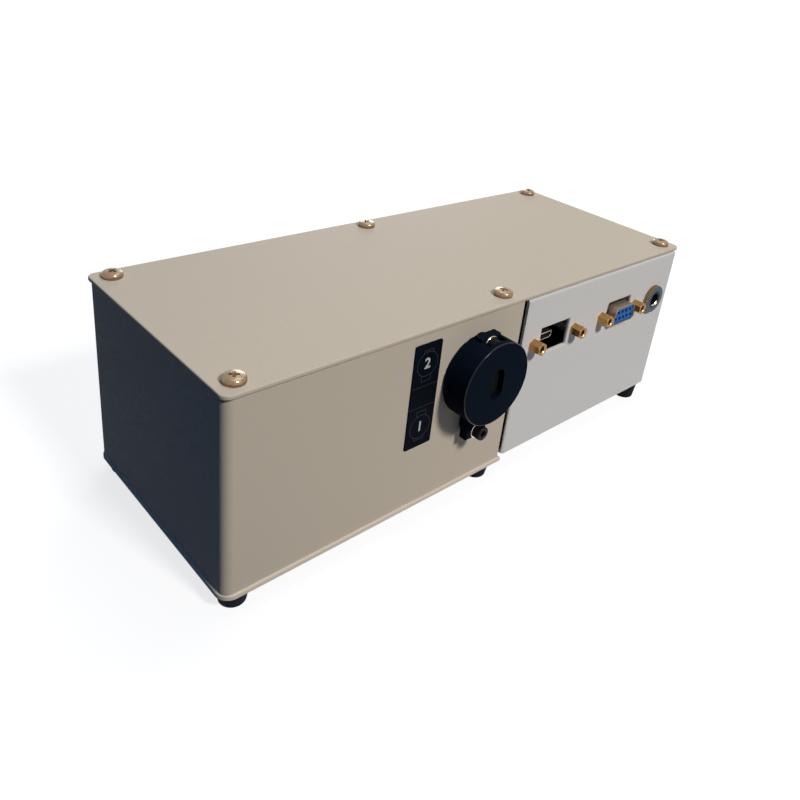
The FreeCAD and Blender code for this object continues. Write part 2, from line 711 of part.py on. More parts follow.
def make_corner_fasteners():
    """Lid screws and feet on six shared axes, with the nuts that their screws turn into."""
    under_lid = f"({LID_UNDERSIDE} - Sizes.sheet_gauge - Sizes.nut_height)"
    for label, bore, level in (("lid_nuts", SHANK_BORE, under_lid), ("foot_nuts", SMALL_BORE, FLOOR)):
        nut = turned(f"{label}_master", [
            (bore, "0"), ("Sizes.nut_diameter / 2", "0"), ("Sizes.nut_diameter / 2", "Sizes.nut_height"),
            (bore, "Sizes.nut_height")])
        finish_set(label, nut, [(x, y, level) for x, y in POSTS])
    lid_screw = pan_screw("lid_screw", "Sizes.screw_shank", "Sizes.lid_screw_length", "Sizes.screw_head",
                          "Sizes.screw_head_height", "Sizes.screw_dome",
                          ("Sizes.recess_span", "Sizes.recess_width", "Sizes.recess_depth"))
    finish_set("lid_screws", lid_screw, [(x, y, "Sizes.body_height") for x, y in POSTS])
    foot_screw = pan_screw("foot_screw", "Sizes.small_shank", "Sizes.foot_screw_length", "Sizes.small_head",
                           "Sizes.small_head_height")
    turned_over = FreeCAD.Rotation(FreeCAD.Vector(1, 0, 0), 180)
    ceiling = "(Sizes.foot_recess - Sizes.foot_height)"
    finish_set("foot_screws", foot_screw, [(x, y, ceiling) for x, y in POSTS], turned_over)
    finish_set("rubber_feet", make_foot("short_foot", "0"), [(x, y, "0") for x, y in LEFT_POSTS])
    finish_set("tall_rubber_feet", make_foot("tall_foot", "Sizes.base_thickness"),
               [(x, y, "0") for x, y in RIGHT_POSTS])


def small_screws(label, length, places, rotation=UPRIGHT):
    screw = pan_screw(f"{label}_master", "Sizes.small_shank", length, "Sizes.small_head",
                      "Sizes.small_head_height")
    return finish_set(label, screw, places, rotation)


def divider_screw_places():
    across = f"({DIVIDER_X} + Sizes.divider_gauge + Sizes.divider_foot / 2)"
    return [(across, "-Sizes.divider_screw_pitch / 2"), (across, "Sizes.divider_screw_pitch / 2")]


def make_divider():
    """Light-tight wall behind the connector case's open side, with a foot on the floor."""
    body = new_body("divider_wall")
    wall = sketch_on(body, "XZ_Plane", lift=f"-{DIVIDER_SIDE}")
    draw_polygon(wall, [
        ("0", "0"), ("Sizes.divider_foot", "0"), ("Sizes.divider_foot", "Sizes.divider_gauge"),
        ("Sizes.divider_gauge", "Sizes.divider_gauge"), ("Sizes.divider_gauge", DIVIDER_HEIGHT),
        ("0", DIVIDER_HEIGHT)])
    pad(body, wall, f"2 * {DIVIDER_SIDE}")
    notch = sketch_on(body, "YZ_Plane", lift="Sizes.divider_gauge")
    draw_rectangle(notch, "-Sizes.divider_notch / 2", "Sizes.divider_notch / 2",
                   f"{DIVIDER_HEIGHT} - Sizes.divider_notch / 2", f"{DIVIDER_HEIGHT} + 1")
    pocket(body, notch, "Sizes.divider_gauge")
    places = [(f"{x} - {DIVIDER_X}", y) for x, y in divider_screw_places()]
    drill(body, "XY_Plane", SMALL_BORE, places, "Sizes.divider_gauge", backwards=True)
    finish(body, x=DIVIDER_X, z=FLOOR)
    small_screws("divider_screws", "Sizes.divider_gauge + Sizes.sheet_gauge",
                 [(x, y, f"{FLOOR} + Sizes.divider_gauge") for x, y in divider_screw_places()])
    small_screws("floor_screws", FLOOR, [(x, y, FLOOR) for x, y in tongue_screw_places()])


def make_label():
    body = new_body("label_plate")
    outline = sketch_on(body, "XZ_Plane")
    draw_centred(outline, "Sizes.label_width", "Sizes.label_height")
    pad(body, outline, "Sizes.label_gauge")
    round_edges(body, "Sizes.label_corner", lambda edge: runs_along(edge, 1))
    return finish(body, f"{SLIT_X} - Sizes.label_offset", f"-{WALL}", "Sizes.label_centre")


# Entrance slit: a rail on the wall and the head that slides on it


def make_slide_rail():
    """T-shaped rail: a bar for the head to ride on, held off the wall by a narrower foot."""
    body = new_body("slide_rail")
    foot = sketch_on(body, "XZ_Plane")
    draw_stadium(foot, "Sizes.rail_foot_width", "Sizes.rail_foot_length")
    pad(body, foot, "Sizes.rail_foot_depth")
    bar = sketch_on(body, "XZ_Plane", lift="Sizes.rail_foot_depth")
    draw_centred(bar, "Sizes.rail_width", "Sizes.rail_length")
    pad(body, bar, "Sizes.rail_depth - Sizes.rail_foot_depth")
    front = measure("-Sizes.rail_depth")
    round_edges(body, "Sizes.rail_edge", lambda edge: runs_along(edge, 0) and lies_at(edge, 1, front),
                kind="Chamfer")
    drill(body, "XZ_Plane", "Sizes.rail_aperture / 2", [("0", "0")], "Sizes.rail_depth",
          lift="Sizes.rail_depth")
    drill(body, "XZ_Plane", CAP_BORE, [("0", f"-{RAIL_SCREW}"), ("0", RAIL_SCREW)], "Sizes.rail_depth",
          lift="Sizes.rail_depth")
    track = sketch_on(body, "YZ_Plane", lift="-Sizes.rail_width / 2", across="-Sizes.plunger_depth")
    draw_stadium(track, "Sizes.track_width", "Sizes.slit_pitch + Sizes.track_width")
    pocket(body, track, "Sizes.track_depth", backwards=True)
    seats = sketch_on(body, "YZ_Plane", lift="-Sizes.rail_width / 2")
    for sign in ("-", ""):
        draw_circle(seats, "Sizes.track_width / 3", "-Sizes.plunger_depth", f"{sign}Sizes.slit_pitch / 2")
    pocket(body, seats, "Sizes.detent_depth", backwards=True)
    finish(body, SLIT_X, f"-{WALL}", "Sizes.optical_height")


def cap_screw(label, shank, length, head, head_height, hexagon, hexagon_depth):
    """Socket cap screw with its head above Z = 0 and its shank below."""
    body = pan_screw(label, shank, length, head, head_height)
    top = measure(head_height)
    round_edges(body, "Sizes.rail_edge", lambda edge: lies_at(edge, 2, top))
    socket = sketch_on(body, "XY_Plane", lift=head_height)
    draw_hexagon(socket, hexagon)
    pocket(body, socket, hexagon_depth)
    return body


def make_rail_fasteners():
    """Two socket screws through washers, rail and wall into a tapped plate behind the wall."""
    rows = [f"(Sizes.optical_height {sign} {RAIL_SCREW})" for sign in "-+"]
    washer = turned("washer", [(CAP_BORE, "0"), ("Sizes.washer_diameter / 2", "0"),
                               ("Sizes.washer_diameter / 2", "Sizes.washer_gauge"),
                               (CAP_BORE, "Sizes.washer_gauge")])
    finish_set("rail_washers", washer,
               [(SLIT_X, f"-{WALL} - Sizes.rail_depth", z) for z in rows], TURN_TO_FRONT)
    screw = cap_screw("rail_screw", "Sizes.cap_shank", "Sizes.cap_length", "Sizes.cap_head",
                      "Sizes.cap_head_height", "Sizes.cap_hex", "Sizes.cap_hex_depth")
    finish_set("rail_screws", screw,
               [(SLIT_X, f"-{WALL} - Sizes.rail_depth - Sizes.washer_gauge", z) for z in rows],
               TURN_TO_FRONT)
    plate = new_body("backing_plate")
    outline = sketch_on(plate, "XZ_Plane")
    draw_centred(outline, "Sizes.backing_width", "Sizes.rail_length")
    pad(plate, outline, "Sizes.backing_gauge", backwards=True)
    drill(plate, "XZ_Plane", "Sizes.wall_aperture / 2", [("0", "0")], "Sizes.backing_gauge")
    drill(plate, "XZ_Plane", CAP_BORE, [("0", f"-{RAIL_SCREW}"), ("0", RAIL_SCREW)], "Sizes.backing_gauge")
    finish(plate, SLIT_X, f"-{WALL} + Sizes.sheet_gauge", "Sizes.optical_height")


def make_slit_head():
    """Round head with a stepped channel through its back, whose lips close behind the rail's bar."""
    body = new_body("slit_head")
    disc = sketch_on(body, "XZ_Plane", lift="Sizes.head_standoff")
    draw_circle(disc, HEAD_RADIUS)
    pad(body, disc, "Sizes.head_depth - Sizes.head_standoff")
    front = measure("-Sizes.head_depth")
    back = measure("-Sizes.head_standoff")
    round_edges(body, "Sizes.head_edge", lambda edge: lies_at(edge, 1, front))
    round_edges(body, "Sizes.head_edge", lambda edge: lies_at(edge, 1, back), kind="Chamfer")
    steps = (
        ("Sizes.relief_width", "Sizes.relief_depth"),
        ("Sizes.rail_foot_width + 2 * Sizes.slide_clearance",
         "Sizes.rail_foot_depth - Sizes.slide_clearance"),
        ("Sizes.rail_width + 2 * Sizes.slide_clearance", "Sizes.rail_depth + Sizes.slide_clearance"),
        ("Sizes.screw_channel", "Sizes.head_depth - Sizes.head_face"),
    )
    start = "0"
    for width, end in steps:
        channel = sketch_on(body, "XZ_Plane", lift=start)
        draw_centred(channel, width, "Sizes.head_diameter + 2")
        pocket(body, channel, f"{end} - ({start})", backwards=True)
        start = end
    window = sketch_on(body, "XZ_Plane", lift="Sizes.head_depth")
    draw_stadium(window, "Sizes.window_width", "Sizes.window_height")
    pocket(body, window, "Sizes.head_face")
    drill(body, "XZ_Plane", "Sizes.tiny_shank / 2 + Sizes.hole_clearance / 2", retainer_places(),
          "Sizes.tiny_length - Sizes.retainer_gauge - Sizes.slit_plate_gauge + Sizes.hole_clearance",
          lift="Sizes.head_depth - Sizes.head_face", backwards=True)
    plunger = sketch_on(body, "YZ_Plane", lift=f"-{HEAD_RADIUS}")
    draw_circle(plunger, "Sizes.plunger_bore / 2", "-Sizes.plunger_depth", "0")
    pocket(body, plunger, f"{HEAD_RADIUS} - Sizes.rail_width / 2", backwards=True)
    return finish(body, SLIT_X, f"-{WALL}", HEAD_HEIGHT)


def retainer_places():
    signs = ("-", "")
    return [(f"{x}Sizes.retainer_screw_x", f"{z}Sizes.retainer_screw_z") for x in signs for z in signs]


def make_slit_plate():
    """Thin plate with a narrow and a wide slit, one above the other, under its holding frame."""
    seat_y = f"(-{WALL} - Sizes.head_depth + Sizes.head_face)"
    hole = "(Sizes.tiny_shank / 2 + Sizes.hole_clearance / 2)"
    plate = new_body("slit_plate")
    outline = sketch_on(plate, "XZ_Plane")
    draw_centred(outline, "Sizes.slit_plate_width", "Sizes.slit_plate_height")
    pad(plate, outline, "Sizes.slit_plate_gauge", backwards=True)
    drill(plate, "XZ_Plane", hole, retainer_places(), "Sizes.slit_plate_gauge")
    for width, sign in (("Sizes.narrow_slit", "-"), ("Sizes.wide_slit", "")):
        slit = sketch_on(plate, "XZ_Plane", along=f"{sign}Sizes.slit_pitch / 2")
        draw_centred(slit, width, "Sizes.slit_height")
        pocket(plate, slit, "Sizes.slit_plate_gauge")
    finish(plate, SLIT_X, seat_y, HEAD_HEIGHT)
    frame = new_body("slit_retainer")
    outline = sketch_on(frame, "XZ_Plane")
    draw_centred(outline, "Sizes.slit_plate_width", "Sizes.slit_plate_height")
    pad(frame, outline, "Sizes.retainer_gauge", backwards=True)
    opening = sketch_on(frame, "XZ_Plane")
    draw_stadium(opening, "Sizes.window_width", "Sizes.window_height")
    pocket(frame, opening, "Sizes.retainer_gauge")
    drill(frame, "XZ_Plane", hole, retainer_places(), "Sizes.retainer_gauge")
    finish(frame, SLIT_X, f"{seat_y} + Sizes.slit_plate_gauge", HEAD_HEIGHT)
    screw = pan_screw("retainer_screw", "Sizes.tiny_shank", "Sizes.tiny_length", "Sizes.tiny_head",
                      "Sizes.tiny_head_height")
    towards_wall = FreeCAD.Rotation(FreeCAD.Vector(1, 0, 0), -90)
    finish_set("retainer_screws", screw,
               [(f"{SLIT_X} + ({x})", f"{seat_y} + Sizes.slit_plate_gauge + Sizes.retainer_gauge",
                 f"{HEAD_HEIGHT} + ({z})") for x, z in retainer_places()], towards_wall)


def make_plunger():
    """Ball, spring and grub screw in the head's side, which hold it at either slit."""
    depth = f"(-{WALL} - Sizes.plunger_depth)"
    ball_x = f"({SLIT_X} - Sizes.rail_width / 2 + Sizes.ball_reach - Sizes.ball_diameter / 2)"
    ball = doc.addObject("Part::Sphere", "plunger_ball")
    ball.Label = "plunger_ball"
    ball.setExpression("Radius", "Sizes.ball_diameter / 2")
    finish(ball, ball_x, depth, HEAD_HEIGHT)
    outwards = FreeCAD.Rotation(FreeCAD.Vector(0, 1, 0), -90)
    spring = new_body("plunger_spring")
    wire = sketch_on(spring, "XZ_Plane")
    draw_rectangle(wire, "Sizes.ball_diameter / 2 - Sizes.spring_wire", "Sizes.ball_diameter / 2",
                   "0", "Sizes.spring_wire")
    coil = spring.newObject("PartDesign::AdditiveHelix", "spring_coil")
    coil.Profile = wire
    coil.ReferenceAxis = (wire, ["V_Axis"])
    coil.Mode = "height-turns-angle"
    coil.setExpression("Height", "Sizes.spring_length - Sizes.spring_wire")
    coil.setExpression("Turns", "Sizes.spring_coils")
    doc.recompute()
    finish(spring, f"{ball_x} - Sizes.ball_diameter / 2", depth, HEAD_HEIGHT, outwards)
    thread = "((Sizes.plunger_bore - Sizes.hole_clearance) / 2)"
    grub = turned("plunger_screw", [("0", "0"), (thread, "0"), (thread, "Sizes.grub_length"),
                                    ("0", "Sizes.grub_length")])
    socket = sketch_on(grub, "XY_Plane", lift="Sizes.grub_length")
    draw_hexagon(socket, "Sizes.grub_hex")
    pocket(grub, socket, "Sizes.grub_hex_depth")
    finish(grub, f"{ball_x} - Sizes.ball_diameter / 2 - Sizes.spring_length", depth, HEAD_HEIGHT, outwards)


# Connectors


def make_standoffs():
    """Hexagonal standoffs on both sides of the two sockets, tapped in front and studded behind."""
    body = new_body("standoff")
    hexagon = sketch_on(body, "XY_Plane")
    draw_hexagon(hexagon, "Sizes.standoff_flats")
    pad(body, hexagon, "Sizes.standoff_length")
    stud = sketch_on(body, "XY_Plane")
    draw_circle(stud, "Sizes.standoff_stud / 2")
    pad(body, stud, "Sizes.sheet_gauge + Sizes.usb_recess", backwards=True)
    drill(body, "XY_Plane", "Sizes.standoff_bore / 2", [("0", "0")], "Sizes.standoff_bore_depth",
          lift="Sizes.standoff_length")
    for label, places in (("usb_standoffs", usb_standoff_places()),
                          ("serial_standoffs", serial_standoff_places())):
        finish_set(label, body, [(x, f"-{WALL}", "Sizes.connector_height") for x in places], TURN_TO_FRONT)


def usb_outline(inset):
    """Corners of the small socket's outline, narrower at its lower side."""
    half = f"(Sizes.usb_width / 2 - {inset})"
    high = f"(Sizes.usb_height / 2 - {inset})"
    cut = "Sizes.usb_corner"
    return [(f"-{half} + {cut}", f"-{high}"), (f"{half} - {cut}", f"-{high}"),
            (half, f"-{high} + {cut}"), (half, high), (f"-{half}", high), (f"-{half}", f"-{high} + {cut}")]


def make_usb_socket():
    """Small data socket on its own board behind the rectangular cut-out."""
    face = f"(-{WALL} + Sizes.usb_recess)"
    shell = new_body("usb_socket")
    outline = sketch_on(shell, "XZ_Plane")
    draw_polygon(outline, usb_outline("0"))
    pad(shell, outline, "Sizes.usb_depth", backwards=True)
    mouth = sketch_on(shell, "XZ_Plane")
    draw_polygon(mouth, usb_outline("Sizes.usb_wall"))
    pocket(shell, mouth, "Sizes.usb_depth - Sizes.usb_wall")
    height = "(Sizes.connector_height - Sizes.usb_lift)"
    finish(shell, USB_X, face, height)
    tongue = doc.addObject("Part::Box", "usb_tongue")
    tongue.Label = "usb_tongue"
    tongue.setExpression("Length", "Sizes.usb_width / 2")
    tongue.setExpression("Width", "Sizes.usb_depth - 3 * Sizes.usb_wall")
    tongue.setExpression("Height", "2 * Sizes.usb_wall")
    finish(tongue, f"{USB_X} - Sizes.usb_width / 4", f"{face} + 2 * Sizes.usb_wall",
           f"{height} + Sizes.usb_wall / 2")
    board = new_body("usb_board")
    outline = sketch_on(board, "XZ_Plane")
    draw_centred(outline, "Sizes.usb_board_width", "Sizes.usb_board_height")
    pad(board, outline, "Sizes.board_gauge", backwards=True)
    holes = [(f"{sign}Sizes.usb_standoff_pitch / 2", "0") for sign in ("-", "")]
    drill(board, "XZ_Plane", SMALL_BORE, holes, "Sizes.board_gauge")
    board_y = f"({face} + Sizes.usb_depth)"
    finish(board, USB_X, board_y, "Sizes.connector_height")
    spacer_length = "(Sizes.usb_recess + Sizes.usb_depth - Sizes.sheet_gauge)"
    spacer = turned("usb_spacer", [(SMALL_BORE, "0"), ("Sizes.spacer_diameter / 2", "0"),
                                   ("Sizes.spacer_diameter / 2", spacer_length),
                                   (SMALL_BORE, spacer_length)])
    finish_set("usb_board_spacers", spacer,
               [(x, board_y, "Sizes.connector_height") for x in usb_standoff_places()], TURN_TO_FRONT)
    backwards = FreeCAD.Rotation(FreeCAD.Vector(1, 0, 0), -90)
    small_screws("usb_board_screws", "Sizes.board_gauge + Sizes.usb_wall * 4",
                 [(x, f"{board_y} + Sizes.board_gauge", "Sizes.connector_height")
                  for x in usb_standoff_places()], backwards)


def contact_places():
    """Five contacts in the wide lower row and four in the upper row."""
    places = []
    for count, sign in ((5, "-"), (4, "")):
        for index in range(count):
            step = index - (count - 1) / 2
            places.append((f"{step} * Sizes.contact_pitch + 0", f"{sign}Sizes.contact_row_pitch / 2"))
    return places


def round_corners(body, radius, axis):
    round_edges(body, radius, lambda edge: runs_along(edge, axis))


def make_serial_socket():
    """Nine-way socket: drawn shell on a flange, coloured insert, contacts and its board."""
    flange_y = f"(-{WALL} + Sizes.sheet_gauge)"
    reach = "(Sizes.serial_reach + Sizes.sheet_gauge)"
    shell = new_body("serial_shell")
    outline = sketch_on(shell, "XZ_Plane")
    draw_polygon(outline, serial_outline("Sizes.serial_width", "Sizes.serial_height"))
    pad(shell, outline, reach)
    round_corners(shell, "Sizes.serial_corner", 1)
    flange = sketch_on(shell, "XZ_Plane")
    draw_centred(flange, "Sizes.serial_flange_width", "Sizes.serial_flange_height")
    pad(shell, flange, "Sizes.serial_flange_gauge", backwards=True)
    inner_width = "(Sizes.serial_width - 2 * Sizes.serial_wall)"
    inner_height = "(Sizes.serial_height - 2 * Sizes.serial_wall)"
    hollow = sketch_on(shell, "XZ_Plane", lift=reach)
    draw_polygon(hollow, serial_outline(inner_width, inner_height))
    pocket(shell, hollow, f"{reach} + Sizes.serial_flange_gauge")
    holes = [(f"{sign}Sizes.serial_standoff_pitch / 2", "0") for sign in ("-", "")]
    drill(shell, "XZ_Plane", STUD_BORE, holes, "Sizes.serial_flange_gauge")
    finish(shell, SERIAL_X, flange_y, "Sizes.connector_height")

    insert_width = f"({inner_width} - 2 * Sizes.hole_clearance)"
    insert_height = f"({inner_height} - 2 * Sizes.hole_clearance)"
    insert_reach = f"({reach} - Sizes.serial_insert_setback)"
    back = "(Sizes.serial_flange_gauge + Sizes.serial_body_depth)"
    insert = new_body("serial_insert")
    outline = sketch_on(insert, "XZ_Plane", lift=f"-{back}")
    draw_polygon(outline, serial_outline(insert_width, insert_height))
    pad(insert, outline, f"{insert_reach} + {back}")
    drill(insert, "XZ_Plane", "Sizes.contact_diameter / 2", contact_places(),
          f"{insert_reach} + {back}", lift=insert_reach)
    finish(insert, SERIAL_X, flange_y, "Sizes.connector_height")

    contact_length = f"({insert_reach} + {back})"
    contact = turned("contact", [
        ("0", "0"), ("Sizes.contact_diameter / 2", "0"), ("Sizes.contact_diameter / 2", contact_length),
        ("Sizes.contact_bore / 2", contact_length), ("Sizes.contact_bore / 2", "Sizes.serial_body_depth"),
        ("0", "Sizes.serial_body_depth")])
    finish_set("serial_contacts", contact,
               [(f"{SERIAL_X} + {x}", f"{flange_y} + {back}", f"Sizes.connector_height + ({z})")
                for x, z in contact_places()], TURN_TO_FRONT)

    board = new_body("serial_board")
    outline = sketch_on(board, "XZ_Plane")
    draw_centred(outline, "Sizes.serial_board_width", "Sizes.serial_board_height")
    pad(board, outline, "Sizes.board_gauge", backwards=True)
    finish(board, SERIAL_X, f"{flange_y} + {back}", "Sizes.connector_height")
    nut = new_body("serial_nut")
    hexagon = sketch_on(nut, "XY_Plane")
    draw_hexagon(hexagon, "Sizes.standoff_flats")
    pad(nut, hexagon, "Sizes.usb_recess - Sizes.serial_flange_gauge")
    drill(nut, "XY_Plane", STUD_BORE, [("0", "0")], "Sizes.usb_recess - Sizes.serial_flange_gauge",
          backwards=True)
    backwards = FreeCAD.Rotation(FreeCAD.Vector(1, 0, 0), -90)
    finish_set("serial_nuts", nut,
               [(x, f"{flange_y} + Sizes.serial_flange_gauge", "Sizes.connector_height")
                for x in serial_standoff_places()], backwards)


def make_power_jack():
    """Round power socket: knurled ring in front, threaded sleeve through the wall and nut behind."""
    outer = "Sizes.jack_sleeve / 2"
    sleeve_back = "(Sizes.jack_ring_reach - Sizes.jack_length)"
    bore_back = "(Sizes.jack_ring_reach - Sizes.jack_bore_depth)"
    sleeve = turned("power_jack_body", [
        ("0", sleeve_back), (outer, sleeve_back), (outer, "Sizes.jack_ring_reach"),
        ("Sizes.jack_bore / 2", "Sizes.jack_ring_reach"), ("Sizes.jack_bore / 2", bore_back),
        ("0", bore_back)])
    finish(sleeve, JACK_X, f"-{WALL}", "Sizes.connector_height", TURN_TO_FRONT)
    tip = "(Sizes.jack_ring_reach - Sizes.jack_pin_setback)"
    pin = turned("power_jack_pin", [("0", bore_back), ("Sizes.jack_pin / 2", bore_back),
                                    ("Sizes.jack_pin / 2", tip), ("0", tip)])
    round_edges(pin, "Sizes.jack_pin / 4", lambda edge: lies_at(edge, 2, measure(tip)))
    finish(pin, JACK_X, f"-{WALL}", "Sizes.connector_height", TURN_TO_FRONT)

    bore = f"({outer} + Sizes.hole_clearance / 2)"
    ring = turned("power_jack_ring", [(bore, "0"), ("Sizes.jack_ring / 2", "0"),
                                      ("Sizes.jack_ring / 2", "Sizes.jack_ring_reach"),
                                      (bore, "Sizes.jack_ring_reach")])
    count = int(measure("Sizes.jack_knurls"))
    groove = sketch_on(ring, "XY_Plane")
    draw_polygon(groove, [("Sizes.jack_ring / 2 - Sizes.jack_knurl_depth", "0"),
                          ("Sizes.jack_ring / 2 + Sizes.jack_knurl_depth", "Sizes.jack_knurl_depth * 1.4"),
                          ("Sizes.jack_ring / 2 + Sizes.jack_knurl_depth", "-Sizes.jack_knurl_depth * 1.4")])
    cut = pocket(ring, groove, "Sizes.jack_ring_reach", backwards=True)
    knurls = ring.newObject("PartDesign::PolarPattern", "knurls")
    knurls.Originals = [cut]
    knurls.Axis = (groove, ["N_Axis"])
    knurls.Angle = 360
    knurls.Occurrences = count
    ring.Tip = knurls
    doc.recompute()
    finish(ring, JACK_X, f"-{WALL}", "Sizes.connector_height", TURN_TO_FRONT)

    nut = new_body("power_jack_nut")
    hexagon = sketch_on(nut, "XY_Plane")
    draw_hexagon(hexagon, "Sizes.jack_nut")
    pad(nut, hexagon, "Sizes.jack_nut_gauge", backwards=True)
    drill(nut, "XY_Plane", bore, [("0", "0")], "Sizes.jack_nut_gauge")
    finish(nut, JACK_X, f"-{WALL} + Sizes.sheet_gauge", "Sizes.connector_height", TURN_TO_FRONT)


# Electronics


def make_main_board():
    """Board on four spacers above the tray's floor, with its chips."""
    half_length = f"({BOARD_LENGTH} / 2 - Sizes.board_hole_inset)"
    half_width = "(Sizes.main_board_width / 2 - Sizes.board_hole_inset)"
    corners = [(f"{x}{half_length}", f"{y}{half_width}") for x in ("-", "") for y in ("-", "")]
    board = new_body("main_board")
    outline = sketch_on(board, "XY_Plane")
    draw_centred(outline, BOARD_LENGTH, "Sizes.main_board_width")
    pad(board, outline, "Sizes.board_gauge")
    drill(board, "XY_Plane", SMALL_BORE, corners, "Sizes.board_gauge", backwards=True)
    finish(board, BOARD_X, "0", f"{FLOOR} + Sizes.main_board_lift")
    places = [(f"{BOARD_X} + ({x})", y) for x, y in corners]
    spacer = turned("board_spacer", [(SMALL_BORE, "0"), ("Sizes.spacer_diameter / 2", "0"),
                                     ("Sizes.spacer_diameter / 2", "Sizes.main_board_lift"),
                                     (SMALL_BORE, "Sizes.main_board_lift")])
    finish_set("board_spacers", spacer, [(x, y, FLOOR) for x, y in places])
    small_screws("board_screws", "Sizes.board_gauge + Sizes.main_board_lift / 2",
                 [(x, y, BOARD_TOP) for x, y in places])
    chip = new_body("chip")
    outline = sketch_on(chip, "XY_Plane")
    draw_centred(outline, "Sizes.processor_width", "Sizes.processor_width")
    pad(chip, outline, "Sizes.chip_gauge")
    finish_set("board_chips", chip, [
        (f"{BOARD_X} + {step} * Sizes.processor_width", "0", BOARD_TOP) for step in (-1.5, 0, 1.5)])


# Optics: slit to collimator to grating to focusing mirror to detector


def aim(place, first, second):
    """Turn about Z, in degrees, that makes -Y halve the angle between two directions."""
    total = FreeCAD.Vector(0, 0, 0)
    for target in (first, second):
        total = total + (target - place).normalize()
    return math.degrees(math.atan2(total.x, -total.y))


